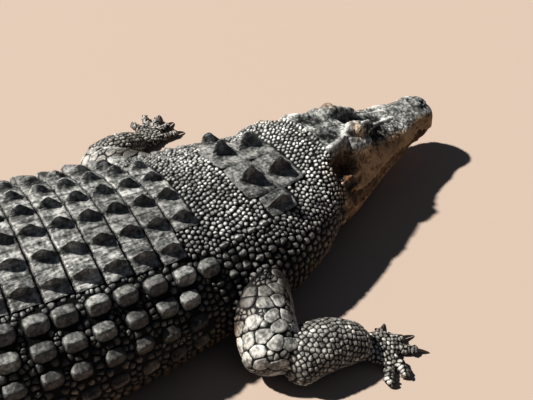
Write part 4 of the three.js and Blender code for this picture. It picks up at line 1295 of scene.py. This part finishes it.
# %% Fill what the rows leave bare
# Where one part's rows end and another's begin, as at the elbow and the shoulder, small scales fill the
# gap.
FILLER = 0.0062  # metres, half the size of a filling scale
FILLER_VALUES = (FILLER, FILLER, 0.0032, 2.8, 0.4, 0.0004, 0.0)
LOOKS = 60000  # chance places on the skin that are tried
corners_of = np.array([polygon.vertices[:3] for polygon in hide.data.polygons])
triangle = point_array(hide.data)[corners_of]
area = np.linalg.norm(np.cross(triangle[:, 1] - triangle[:, 0], triangle[:, 2] - triangle[:, 0]), axis=1)
picked = triangle[chance.choice(len(area), LOOKS, p=area / area.sum())]
share = chance.dirichlet((1, 1, 1), LOOKS)
skin_places = np.einsum("nk,nkx->nx", share, picked)
looked_at = skin_places[(head_place(skin_places)[1] > HEAD_END - 0.01) & (skin_places[:, 2] > 0.006)]
kept_tree = tree_of(seed["point"])
fill_points, fill_from = [], []
reach_of = np.sqrt(seed["values"][:, 0] * seed["values"][:, 1]) * 1.05
for point in looked_at:
    found = kept_tree.find_n(point, 5)
    if any(distance < reach_of[k] + 0.9 * FILLER for _, k, distance in found) or found[0][2] > 0.08:
        continue
    _, k, distance = plate_tree.find(point)
    if distance < PLATE_NEAR and share_of_plate(point, k) < 1.08:
        continue
    if all(np.dot(point - other, point - other) > (1.9 * FILLER) ** 2 for other in fill_points[-400:]):
        fill_points.append(point)
        fill_from.append(found[0][1])
if fill_points:
    places, outward, _ = press_on_skin(fill_points, 1)
    parent = np.array(fill_from)
    offset = places - seed["point"][parent]
    back = seed["back"][parent]
    left = np.cross(seed["outward"][parent], back)
    step = np.stack([np.sum(offset * back, axis=1), np.sum(offset * left, axis=1)], -1) / HEAD * UNWRAP
    added = {
        "group": seed["group"][parent], "point": places, "outward": outward, "back": back,
        "values": np.tile(FILLER_VALUES, (len(parent), 1)), "root": seed["root"][parent] + step}
    seed = {name: np.concatenate([values, added[name]]) for name, values in seed.items()}
print("fillers:", len(fill_points))

# %% Grow the scales
NEIGHBOURS = 14
RIM_SUNK = 0.0012  # metres, so that no rim shows a gap under it
PATCH = 0.0014  # half of a scale's patch on the unwrap
PLATE_PATCH = 2.2 * PATCH


def grow_scales(name, chosen, corners, rings, widest):
    """A joined mesh of scales on the chosen seeds; rings are shares of their reach, widest its limit."""
    point, outward, back = (seed[key][chosen] for key in ("point", "outward", "back"))
    along, across, rise, crown, rounding, gap, keel = seed["values"][chosen].T
    back = back - outward * np.sum(back * outward, axis=1, keepdims=True)
    back /= np.linalg.norm(back, axis=1, keepdims=True) + 1e-12
    left = np.cross(outward, back)
    near = all_near[chosen]
    offset = all_points[near] - point[:, None]
    x = np.einsum("nmk,nk->nm", offset, back) / along[:, None]
    y = np.einsum("nmk,nk->nm", offset, left) / across[:, None]
    weight = all_sizes[near] / np.sqrt(along * across)[:, None]
    turned_away = np.einsum("nmk,nk->nm", all_outward[near], outward) < 0.15
    angle = np.arange(corners) * 2 * np.pi / corners
    facing = x[..., None] * np.cos(angle) + y[..., None] * np.sin(angle)
    meet = (x ** 2 + y ** 2 + 1 - np.minimum(weight, 2.5) ** 2)[..., None] / (2 * np.maximum(facing, 1e-6))
    meet[(facing < 0.05) | turned_away[..., None]] = 9
    reach = np.clip(meet.min(axis=1), 0.3, widest)
    metres = np.hypot(np.cos(angle) * along[:, None], np.sin(angle) * across[:, None])
    box = 1.02 / (np.cos(angle) ** 6 + np.sin(angle) ** 6) ** (1 / 6)
    reach = np.where((keel > BOXY_KEEL)[:, None], np.minimum(1.12 * reach, box), reach)
    reach = np.maximum(reach - gap[:, None] / metres, 0.25)
    even = (np.roll(reach, 1, axis=1) + np.roll(reach, -1, axis=1)) / 2
    round_reach = np.minimum(reach, np.median(reach, axis=1, keepdims=True) * 1.05)
    share = rounding[:, None]
    reach = (0.94 * reach + 0.06 * even) * (1 - share) + round_reach * share

    run = reach * np.cos(angle) * along[:, None]
    over = reach * np.sin(angle) * across[:, None]
    rim = point[:, None] + run[..., None] * back[:, None] + over[..., None] * left[:, None]
    pressed = press_on_skin(rim.reshape(-1, 3), 1)[0].reshape(rim.shape)
    dip = np.einsum("nmk,nk->nm", pressed - point[:, None], outward)
    dip = np.clip(dip, -0.6 * metres, 0.4 * metres)
    vary = 1 + 0.16 * chance.normal(size=len(point))
    layers, tones, locals_ = [], [], []  # ring by ring: points, tones and places on the scale's patch
    for ring in (*rings, 0.0):
        on_keel = np.clip(1 - np.abs(ring * reach * np.sin(angle)) / 0.5, 0, 1)
        to_rear = np.clip(0.75 + 0.4 * ring * np.cos(angle), 0, 1)
        lift = (rise * vary)[:, None] * (1 - ring ** crown[:, None])
        lift = lift + keel[:, None] * on_keel * to_rear * (ring < 0.99)
        lift = lift - (RIM_SUNK if ring == 1 else 0)
        layer = (
            point[:, None] + ring * (run[..., None] * back[:, None] + over[..., None] * left[:, None])
            + (dip * ring ** 2 + lift)[..., None] * outward[:, None])
        # painted shade: each scale's tone falls from its crown to its rim, so the creases between scales
        # are painted dark and the crowns pale
        tone = np.clip(lift / np.maximum(rise + 0.3 * keel, 1e-6)[:, None], 0, 1) ** (1.6 / crown[:, None])
        local = np.stack([ring * np.cos(angle), ring * np.sin(angle)], -1)[None].repeat(len(point), axis=0)
        if ring == 0:
            layer, tone, local = layer[:, :1], tone[:, :1], local[:, :1]
        layers.append(layer)
        tones.append(tone)
        locals_.append(local)
    points = np.concatenate(layers, axis=1)
    points[..., 2] = np.maximum(points[..., 2], 0)
    per_scale = points.shape[1]
    first = (np.arange(len(point)) * per_scale)[:, None, None]
    grid, after, quads = closed_rows(len(rings), corners)
    fan = np.stack([grid[-1], after[-1], np.full(corners, per_scale - 1)], -1)
    faces = [(quads[None, :, [0, 3, 2, 1]] + first).reshape(-1, 4), (fan[None] + first).reshape(-1, 3)]
    points = points.reshape(-1, 3)
    mesh = make_mesh(name, points, faces)
    # tint: a chance value for each scale, a painted highlight on the tallest scales, the keeled boxes of
    # the flanks, and the painted shade of the flanks with lighter legs and neck
    tint = np.repeat(chance.random(len(point)) + 0.4 * (rise > 0.0075), per_scale) + tone_and_painted_shade(points)
    root = (seed["root"][chosen][:, None] + np.concatenate(locals_, axis=1) * PATCH).reshape(-1, 2)
    return mark(mesh, np.concatenate(tones, axis=1).ravel(), tint, root)


def mark(mesh, rise, tint, root=None):
    """Stores what the materials read: height in the scale, which paints shade into the creases, a tint of
    chance and painted shade, warmth, and the bake's map.
    """
    points = point_array(mesh)
    store(mesh, "rise", rise)
    store(mesh, "tint", tint)
    store(mesh, "warm", warmth(points))
    if root is not None:
        add_map(mesh, "OFBake", root)
    return mesh


def beside_spine(points):
    """Metres from each point to the line of the spine, straight across."""
    return np.abs(points[:, 0] - np.interp(points[:, 1], spine_y * HEAD, spine_x * HEAD))


def tone_and_painted_shade(points):
    """How much lighter or darker the hide is than on the back: flanks are darker, as painted shade, and
    legs and the top of the neck lighter.
    """
    across = beside_spine(points)
    # painted shade on the flanks
    on_flank = ramp(across, 0.2, 0.27) * ramp(points[:, 1], -0.9, -0.4) * (1 - ramp(points[:, 1], 0.9, 1.5))
    on_leg = ramp(across, 0.36, 0.42)
    on_neck = (1 - ramp(points[:, 1], -0.5, -0.38)) * (1 - ramp(across, 0.16, 0.24))
    on_neck *= ramp(points[:, 2], 0.14, 0.24)
    on_head = 1 - ramp(points[:, 1], -0.92, -0.88)
    return 0.7 * on_leg - 1.35 * on_flank * (1 - on_leg) + (1.7 - 1.0 * on_head) * on_neck


def warmth(points):
    """How brown the hide is: low on the sides of the neck and body, and on the sides of the jaws."""
    side, station, height = head_place(points)
    on_body = 1 - ramp(points[:, 2], 0.07, 0.235)
    on_leg = ramp(beside_spine(points), 0.36, 0.42)
    on_body = on_body * (1 - 0.85 * on_leg)
    lip = mouth_height(station)
    crest = value_at(HEAD_FORM, station)[:, 1]
    on_jaw = 1 - ramp((height - lip) / (crest - lip), 0.6, 0.9)
    head_share = 1 - ramp(station, 0.93, 1.12)
    head_share = head_share * (np.abs(side) < 0.45)
    brow = 0.6 * (1 - ramp(np.hypot(station - 0.76, np.hypot(np.abs(side) - 0.1, height)), 0.03, 0.06))
    return on_body * (1 - head_share) + np.maximum(on_jaw, brow) * head_share


all_points = np.vstack([seed["point"], blocks])
all_outward = np.vstack([seed["outward"], body_hide.read("outward", block_along, block_girth)])
all_sizes = np.concatenate(
    [np.sqrt(seed["values"][:, 0] * seed["values"][:, 1]), np.full(len(blocks), 0.006)])
neighbour_tree = tree_of(all_points)
all_near = np.array(
    [[found[1] for found in neighbour_tree.find_n(point, NEIGHBOURS + 1)[1:]] for point in seed["point"]])

# name: corners of the rim, rings, and the widest reach in half sizes
COATS = {
    "neck_beads": (9, (1, 0.84, 0.5), 1.5), "flank_scales": (16, (1, 0.88, 0.6, 0.3), 1.5),
    "tail_scales": (12, (1, 0.9, 0.55), 1.42), "foreleg_scales": (16, (1, 0.975, 0.92, 0.7), 2.0),
    "leg_paw_scales": (10, (1, 0.88, 0.55), 1.45), "hindleg_scales": (12, (1, 0.95, 0.75), 1.8)}
coats = {}
for name, (corners, rings, widest) in COATS.items():
    chosen = np.flatnonzero(seed["group"] == name)
    coats[name] = add_piece(name, grow_scales(name, chosen, corners, rings, widest))
    print(
        name, len(chosen), "scales,", sum(len(face.vertices) - 2 for face in coats[name].data.polygons),
        "triangles")

# %% [markdown]
# ## Hide and horn
# A crocodile's scales are keratin over leather. On the back their tops are a chalky grey, partly weathered
# and partly a painted highlight; the creases between them are painted nearly black, as painted shade; and
# the sides of the jaws and belly are brown. Painting each scale would take thousands of materials. Instead
# every point stores three numbers: its height in its scale, which turns into that painted shade low down
# and the pale tops high up, how warm its place is, and a tint, a chance value for its scale to which
# painted shade on the flanks, a painted highlight on the tallest flank scales and lighter legs and neck are
# added. One group of nodes turns them into colour, so the skin and the scales always agree. Noise of about
# 110, 26 and 8 mm adds blotches, patches and grain. Dry keratin has an IOR of about 1.54 and is rather
# rough.

# %% Finishes
def markings_group():
    """The colour that skin and scales share: by height in the scale, which gives painted shade low and pale
    tops high, by warmth and tint, with mottling.
    """
    tree, given = new_group("crocodile markings", "ShaderNodeTree", "Color", Rise=0.0, Warm=0.0, Tint=0.0)
    where = add_node(tree, "ShaderNodeTexCoord").outputs["Object"]
    blotch = add_node(tree, NOISE, {"Vector": where, "Scale": 9.0, "Detail": 4.0, "Roughness": 0.6})
    grain = add_node(tree, NOISE, {"Vector": where, "Scale": 120.0, "Detail": 3.0})
    patches = add_node(tree, NOISE, {"Vector": where, "Scale": 38.0, "Detail": 3.0})
    speckle = add_node(tree, MATH, {0: grain, 1: 1.2, 2: -0.96}, operation="MULTIPLY_ADD")
    mottle = add_node(tree, MATH, {0: patches, 1: 1.3, 2: speckle}, operation="MULTIPLY_ADD")
    centred = add_node(tree, MATH, {0: mottle, 1: 0.36}, operation="SUBTRACT")
    # painted shade and highlight: low in a scale or crease is near-black, high is pale, partly wear and
    # partly painted highlight
    raised = add_node(
        tree, MATH, {0: given.outputs["Rise"], 1: 0.9, 2: centred}, operation="MULTIPLY_ADD")
    bars = []
    for colours in (
            ("#0a0a09", "#2e2f2e", "#747675", "#b4b5b3"), ("#0c0806", "#3a2b1f", "#7d6046", "#b39674")):
        bar = add_node(tree, "ShaderNodeValToRGB", {"Fac": raised})
        fill_bar(bar.color_ramp.elements, zip((0.0, 0.35, 0.72, 1.0), colours))
        bars.append(bar)
    base = add_node(
        tree, "ShaderNodeMix", {"Factor": given.outputs["Warm"], 6: bars[0], 7: bars[1]},
        data_type="RGBA")
    shade = add_node(tree, MATH, {0: blotch, 1: 1.5, 2: -0.05}, operation="MULTIPLY_ADD")
    value = add_node(tree, MATH, {0: given.outputs["Tint"], 1: 0.5, 2: 0.8}, operation="MULTIPLY_ADD")
    both = add_node(tree, MATH, {0: shade, 1: value}, operation="MULTIPLY")
    tone = add_node(tree, "ShaderNodeHueSaturation", {"Color": base.outputs[2], "Value": both})
    add_node(tree, "NodeGroupOutput", {"Color": tone})
    return tree


def fill_bar(elements, stops):
    """Gives a colour bar these stops of position and colour."""
    for n, (position, colour) in enumerate(stops):
        element = elements[n] if n < len(elements) else elements.new(1.0)
        element.position = position
        element.color = linear(colour)


markings = markings_group()


def horn_finish(name, roughness, grain_scale, grain_strength, stretch=1.0, shine=0.5, depth=0.002):
    """The shared colour on a dry, dull surface, with a fine grain that may be drawn out along the body."""
    finish, tree, shader = new_finish(name, Roughness=roughness, IOR=1.54, Specular_IOR_Level=shine)
    marks = {
        socket: add_node(tree, "ShaderNodeAttribute", attribute_name=socket.lower()).outputs["Fac"]
        for socket in ("Rise", "Warm", "Tint")}
    colour = add_node(tree, "ShaderNodeGroup", marks, node_tree=markings)
    tree.links.new(colour.outputs[0], shader.inputs["Base Color"])
    where = add_node(tree, "ShaderNodeTexCoord").outputs["Object"]
    drawn_out = add_node(tree, VECTOR_MATH, {0: where, 1: (1.0, 1 / stretch, 1.0)}, operation="MULTIPLY")
    grain = add_node(tree, NOISE, {"Vector": drawn_out, "Scale": grain_scale, "Detail": 4.0})
    bump = add_node(
        tree, "ShaderNodeBump", {"Height": grain, "Strength": grain_strength, "Distance": depth})
    tree.links.new(bump.outputs["Normal"], shader.inputs["Normal"])
    return finish


# The small scales are dull and flaky. The plates' horn has long grooves, which catch the light as fine
# lines. The leather in the creases hardly shines at all.
horn = horn_finish("keratin scale", 0.55, 170.0, 0.6)
ridged_horn = horn_finish("ridged keratin plate", 0.5, 110.0, 1.0, 4.0, depth=0.007)
leather = horn_finish("living hide", 0.65, 220.0, 0.6, shine=0.2)

# %% [markdown]
# ## Keeled plates, by Geometry Nodes
# A back plate is bone under horn: a low cushion with a thin blade along its middle that climbs from the
# front and drops behind its peak. All plates are one form in many sizes, which is what Geometry Nodes are
# good at. The tree shapes a small grid by two profile curves, one along the plate and one across it, sets a
# copy on every point of a mesh, turned by two directions stored on that point, and roughens the result a
# little, so that no two are alike. The crest scutes of the tail are the same form, narrow and tall.

# %% The tree of keeled plates
def keeled_plates_tree(name, along_knots, across_knots, end_knots, side_knots, finish):
    """Copies of a keeled plate on points that store size, back and outward."""
    tree, given = new_group(
        name, "GeometryNodeTree", "Geometry", Geometry=None, Faces_along=12, Faces_across=10,
        Cushion=0.16, Roughness=0.0015, Cut_corners=0.0)
    sheet = add_node(
        tree, "GeometryNodeMeshGrid", {"Size X": 2.0, "Size Y": 2.0,
        "Vertices X": given.outputs["Faces along"], "Vertices Y": given.outputs["Faces across"]})
    even = add_node(tree, "ShaderNodeSeparateXYZ", {"Vector": add_node(tree, "GeometryNodeInputPosition")})
    # rows crowd towards the keel, and a square's corners are rounded by the other side's distance
    from_keel = add_node(tree, MATH, {0: even.outputs["Y"]}, operation="ABSOLUTE")
    near_keel = add_node(tree, MATH, {0: from_keel, 1: 1.5}, operation="POWER")
    half = add_node(tree, MATH, {0: even.outputs["Y"]}, operation="SIGN")
    drawn_in = add_node(tree, MATH, {0: near_keel, 1: half}, operation="MULTIPLY")
    rounder = []
    for position, other in ((even.outputs["X"], drawn_in), (drawn_in, even.outputs["X"])):
        square = add_node(tree, MATH, {0: other, 1: 2.0}, operation="POWER")
        cut = add_node(tree, MATH, {0: square, 1: given.outputs["Cut corners"]}, operation="MULTIPLY")
        left = add_node(tree, MATH, {0: 1.0, 1: cut}, operation="SUBTRACT")
        root = add_node(tree, MATH, {0: left}, operation="SQRT")
        rounder.append(add_node(tree, MATH, {0: position, 1: root}, operation="MULTIPLY"))
    along = add_node(tree, MAP_RANGE, {"Value": even.outputs["X"], "From Min": -1.0, "From Max": 1.0})
    across = add_node(tree, MATH, {0: drawn_in}, operation="ABSOLUTE")
    far_along = add_node(tree, MATH, {0: even.outputs["X"]}, operation="ABSOLUTE")
    profiles = []
    for value, knots in (
            (along, along_knots), (across, across_knots), (far_along, end_knots), (across, side_knots)):
        curve = add_node(tree, "ShaderNodeFloatCurve", {"Value": value})
        points = curve.mapping.curves[0].points
        while len(points) < len(knots):
            points.new(0.5, 0.5)
        for point, knot in zip(points, knots):
            point.location = knot
        curve.mapping.update()
        profiles.append(curve)
    climb, blade, edge_along, edge_across = profiles
    keel = add_node(tree, MATH, {0: climb, 1: blade}, operation="MULTIPLY")
    edge = add_node(tree, MATH, {0: edge_along, 1: edge_across}, operation="MINIMUM")
    cushion = add_node(tree, MATH, {0: edge, 1: given.outputs["Cushion"]}, operation="MULTIPLY")
    level = add_node(tree, MATH, {0: keel, 1: cushion}, operation="ADD")
    sunk = add_node(tree, MATH, {0: level, 1: 0.03}, operation="SUBTRACT")
    formed = add_node(tree, "ShaderNodeCombineXYZ", {"X": rounder[0], "Y": rounder[1], "Z": sunk})
    form = add_node(tree, "GeometryNodeSetPosition", {"Geometry": sheet, "Position": formed})
    place_in_plate = add_node(tree, "GeometryNodeInputPosition")
    # the plate's edge profile is kept as its tone, so its sunk rim is painted dark as painted shade
    for word, value, kind_of in (
            ("rise", edge, "FLOAT"), ("local", place_in_plate, "FLOAT_VECTOR"), ("blade", keel, "FLOAT")):
        form = add_node(
            tree, "GeometryNodeStoreNamedAttribute", {"Geometry": form, "Name": word}, data_type=kind_of,
            domain="POINT")
        tree.links.new(value.outputs[0], form.inputs["Value"])
    real = copies_on_points(tree, given, form, "size", "outward", "back")
    rough = add_node(tree, NOISE, {"Scale": 55.0, "Detail": 2.0})
    centred = add_node(
        tree, VECTOR_MATH, {0: rough.outputs["Color"], 1: (0.5, 0.5, 0.5)}, operation="SUBTRACT")
    small = add_node(
        tree, VECTOR_MATH, {0: centred, "Scale": given.outputs["Roughness"]}, operation="SCALE")
    worn = add_node(tree, "GeometryNodeSetPosition", {"Geometry": real, "Offset": small})
    finished_group(tree, worn, finish)
    return tree


def set_inputs(modifier, **values):
    """Sets a Geometry Nodes modifier's inputs, each by the identifier of the socket with its name."""
    sockets = {
        item.name: item.identifier for item in modifier.node_group.interface.items_tree
        if item.in_out == "INPUT"}
    for word, value in values.items():
        modifier[sockets[word.replace("_", " ")]] = value


def plates_piece(name, rows, tree, along_faces, across_faces, cushion, rough, cut_corners=0.0):
    """A joined mesh of keeled plates, from rows as the places of the plates above give them."""
    s, girth, half_length, half_width, rise = np.array(rows).T
    points, back, outward = [
        body_hide.read(what, s * HEAD, girth) for what in ("points", "back", "outward")]
    mesh = bpy.data.meshes.new(name)
    mesh.from_pydata(press_on_skin(points, 1)[0].tolist(), [], [])
    store(mesh, "back", back)
    store(mesh, "outward", outward)
    store(mesh, "size", np.stack([half_length, half_width, rise], -1) * HEAD)
    store(
        mesh, "root", np.stack([s * UNWRAP, BODY_CORNER[1] + girth / HEAD * UNWRAP,
        chance.random(len(s))], -1))
    piece = add_piece(name, mesh)
    modifier = piece.modifiers.new("plates", "NODES")
    modifier.node_group = tree
    set_inputs(
        modifier, Faces_along=along_faces + 1, Faces_across=across_faces + 1, Cushion=cushion,
        Roughness=rough, Cut_corners=cut_corners)
    piece.data = evaluated(piece)
    kept = piece.data.attributes
    root = read(kept["root"].data, "vector", 3)
    local = read(kept["local"].data, "vector", 3)
    tone = read(kept["rise"].data, "value")
    blade = read(kept["blade"].data, "value")
    for spare in ("root", "local", "rise", "blade", "size", "back", "outward"):
        if spare in kept:
            kept.remove(kept[spare])
    # painted shade darkens a keel's flanks and the plate's sunk rim; its edge and the cushion stay pale,
    # partly worn and partly painted highlight
    mark(
        piece.data, tone * (1.0 - 1.2 * blade * (1 - blade)), root[:, 2],
        root[:, :2] + local[:, :2] * PLATE_PATCH)
    return piece

# %% Back plates, nuchal keels and tail crest
# Each profile is a curve from 0 to 1: the blade and the edges run from the middle of the plate to its side
# or end.
BLADE = [(0.0, 1.0), (0.05, 0.88), (0.13, 0.46), (0.24, 0.17), (0.42, 0.04), (1.0, 0.0)]
NAPE_BLADE = [(0.0, 1.0), (0.045, 0.88), (0.1, 0.46), (0.19, 0.17), (0.34, 0.04), (1.0, 0.0)]
CREST_BLADE = [(0.0, 1.0), (0.2, 0.8), (0.5, 0.3), (0.85, 0.05), (1.0, 0.0)]
BACK_CLIMB = [(0.0, 0.06), (0.2, 0.36), (0.45, 0.86), (0.57, 1.0), (0.7, 0.93), (0.88, 0.45), (1.0, 0.08)]
NAPE_CLIMB = [
    (0.0, 0.0), (0.14, 0.12), (0.42, 0.68), (0.58, 1.0), (0.7, 0.93), (0.83, 0.4), (0.92, 0.1),
    (1.0, 0.0)]
CREST_CLIMB = [(0.0, 0.1), (0.3, 0.45), (0.8, 1.0), (0.9, 0.8), (1.0, 0.3)]
SHARP_ENDS = [(0.0, 1.0), (0.85, 0.97), (0.94, 0.75), (1.0, 0.0)]
SOFT_ENDS = [(0.0, 1.0), (0.75, 0.95), (0.92, 0.75), (1.0, 0.2)]
OPEN_SIDES = [(0.0, 1.0), (0.9, 0.93), (1.0, 0.7)]
# name: plates, the tree's own name, its profiles and finish, then faces, cushion, roughness and cut corners
PLATE_PIECES = {
    "back_scutes": (plates, "keeled plates", (BACK_CLIMB, BLADE, SHARP_ENDS, OPEN_SIDES, ridged_horn),
    (18, 18, 0.14, 0.006)), "nape_fins": (nape_plates, "nape fins",
    (NAPE_CLIMB, NAPE_BLADE, SOFT_ENDS, SOFT_ENDS, ridged_horn), (24, 24, 0.12, 0.006, 0.2)),
    "tail_crest": (crests, "crest scutes", (CREST_CLIMB, CREST_BLADE, SHARP_ENDS, SHARP_ENDS, horn),
    (12, 8, 0.1, 0.003, 0.1)),}
for name, (rows, tree_name, profiles, sizes) in PLATE_PIECES.items():
    coats[name] = plates_piece(name, rows, keeled_plates_tree(tree_name, *profiles), *sizes)
    print(name, "faces:", len(coats[name].data.polygons))


# %% [markdown]
# ## Dressing the pieces
# The skin gets the leather, the scales the horn. On the head, where there are no separate scales, the skin
# itself carries the light tone, darker in its furrows, pits and grooves and paler on its knobs and ridges,
# as painted shade and highlight. Under the scales the skin is painted near-black, as painted shade in the
# creases. The eye is a wet ball: a yellow-green iris with a slit pupil, drawn by a few nodes on a map of
# its front, under a clear coat with the cornea's IOR of 1.376. A texture would also do, but nodes stay
# sharp however near the camera comes. Claws are darker, smoother horn.

# %% Dress the skin, scales, eyes and claws
hide.data.materials.clear()
hide.data.materials.append(leather)
for piece in coats.values():
    if not piece.data.materials:
        piece.data.materials.append(horn)
skin_points = point_array(hide.data)
station = head_place(skin_points)[1]
bare = 1 - ramp(station, HEAD_END - 0.07, HEAD_END - 0.02)
jaw = warmth(skin_points)
tail_tip = ramp(skin_points[:, 1], 2.68, 2.7)  # metres: past the last scales, where the skin shows
# the jaw's side is lighter, partly its own tan and partly painted light from the floor, and darker towards
# the corner of the mouth as painted shade
jaw_tone = 0.86 + 0.3 * jaw - 0.6 * jaw * ramp(station, 0.84, 0.93)  # darker at the corner of the mouth
# where scales cover the skin its tone stays 0, the ramp's near-black: painted shade in the creases; the
# tail tip past the last scales is lighter
mark(hide.data, jaw_tone * bare + 0.8 * tail_tip + skin_tone, 0.5 + tone_and_painted_shade(skin_points))
for spare in ("rugged", "pitted", "bumps"):
    hide.data.attributes.remove(hide.data.attributes[spare])


def eye_finish():
    """Yellow-green iris with a dark rim and a slit pupil, on the eye's front map, under a wet coat."""
    finish, tree, shader = new_finish(
        "wet eye", Roughness=0.12, IOR=1.376, Coat_Weight=1.0, Coat_Roughness=0.03)
    front = add_node(tree, "ShaderNodeUVMap", uv_map="eye front")
    centred = add_node(tree, VECTOR_MATH, {0: front, 1: (0.5, 0.5, 0.0)}, operation="SUBTRACT")
    far = add_node(tree, VECTOR_MATH, {0: centred}, operation="LENGTH").outputs["Value"]
    parts = add_node(tree, "ShaderNodeSeparateXYZ", {"Vector": centred})
    across = add_node(tree, MATH, {0: parts.outputs["X"]}, operation="ABSOLUTE")
    narrow = add_node(tree, MATH, {0: across, 1: 0.03}, operation="DIVIDE")
    upright = add_node(tree, MATH, {0: parts.outputs["Y"], 1: 0.2}, operation="DIVIDE")
    tall = add_node(tree, MATH, {0: upright}, operation="ABSOLUTE")
    rounded = add_node(tree, MATH, {0: tall, 1: 2.0}, operation="POWER")
    slit = add_node(tree, MATH, {0: narrow, 1: rounded}, operation="ADD")
    pupil = add_node(tree, MAP_RANGE, {"Value": slit, "From Min": 0.85, "From Max": 1.15})
    rays = add_node(tree, NOISE, {"Vector": centred, "Scale": 40.0, "Detail": 4.0})
    shade = add_node(tree, MATH, {0: rays, 1: 0.16, 2: far}, operation="MULTIPLY_ADD")
    iris = add_node(tree, "ShaderNodeValToRGB", {"Fac": shade})
    fill_bar(
        iris.color_ramp.elements, [(0.08, "#b9a94a"), (0.2, "#8d8a33"), (0.3, "#4f5420"),
        (0.36, "#17150d")])
    colour = add_node(
        tree, "ShaderNodeMix", {"Factor": pupil, 6: linear("#050505"), 7: iris}, data_type="RGBA")
    tree.links.new(colour.outputs[2], shader.inputs["Base Color"])
    return finish


def claw_finish():
    """Dark horn, clouded at random, smoother and shinier than the scales."""
    finish, tree, shader = new_finish("claw horn", Roughness=0.35, IOR=1.54)
    where = add_node(tree, "ShaderNodeTexCoord").outputs["Object"]
    cloud = add_node(tree, NOISE, {"Vector": where, "Scale": 90.0, "Detail": 3.0})
    colour = add_node(
        tree, "ShaderNodeMix", {"Factor": cloud, 6: linear("#1d1915"), 7: linear("#4d443a")},
        data_type="RGBA")
    tree.links.new(colour.outputs[2], shader.inputs["Base Color"])
    return finish


for dressed, finish in ((eyes, eye_finish()), (claws, claw_finish())):
    for piece in dressed.values():
        piece.data.materials.append(finish)


# %% [markdown]
# ## Floor and light
# The animal lies on a plain pale floor. One strong parallel light stands behind its left flank, as high as
# a sun in the morning, so that every keel and bead has a lit side and a dark one. Its disc is a little
# wider than the real sun, for soft edges. A weak blue-grey surround keeps the shadows from going black.

# %% Floor and light
floor_mesh = make_mesh(
    "floor", [(-40, -40, 0), (40, -40, 0), (40, 40, 0), (-40, 40, 0)], [np.array([[0, 1, 2, 3]])])
floor = add_piece("floor", floor_mesh)
matt_floor, _, _ = new_finish("matt studio floor", Base_Color=linear("#a5968b"), Roughness=0.9)
floor_mesh.materials.append(matt_floor)

LIGHT_DIRECTION = (0.6, 0.8, 1.035)  # from the animal towards the key light
key_data = bpy.data.lights.new("key", "SUN")
key_data.angle = 0.04  # radians: soft-edged shadows
key_data.energy = 7.2
key_data.color = linear("#fffaf2")[:3]
key = bpy.data.objects.new("key", key_data)
scene.collection.objects.link(key)
key.location = [14 * part for part in LIGHT_DIRECTION]
key.rotation_euler = key.location.to_track_quat("Z", "Y").to_euler()
scene.view_settings.view_transform = "Standard"
scene.view_settings.look = "Medium High Contrast"
world = bpy.data.worlds.new("studio")
scene.world = world
world.use_nodes = True
world.node_tree.nodes["Background"].inputs["Color"].default_value = linear("#c9d6ea")
world.node_tree.nodes["Background"].inputs["Strength"].default_value = 0.12

# %% [markdown]
# ## Bodies and replaced solids
# Everything rides on the one body of a still model. The skin stands in for every solid of flesh; each eye
# and each foot's claws stand in for their own solids.

# %% Bodies and replaced solids
FLESH = [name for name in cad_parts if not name.startswith(("claw_", "eye_"))]
for piece in [hide, *coats.values(), *eyes.values(), *claws.values(), teeth_piece]:
    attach(piece, "root")
for node, piece in eyes.items():
    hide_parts(node)
for foot, piece in claws.items():
    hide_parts(*[f"claw_{foot}_{k + 1}" for k in range(CLAWED)])
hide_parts(*FLESH)
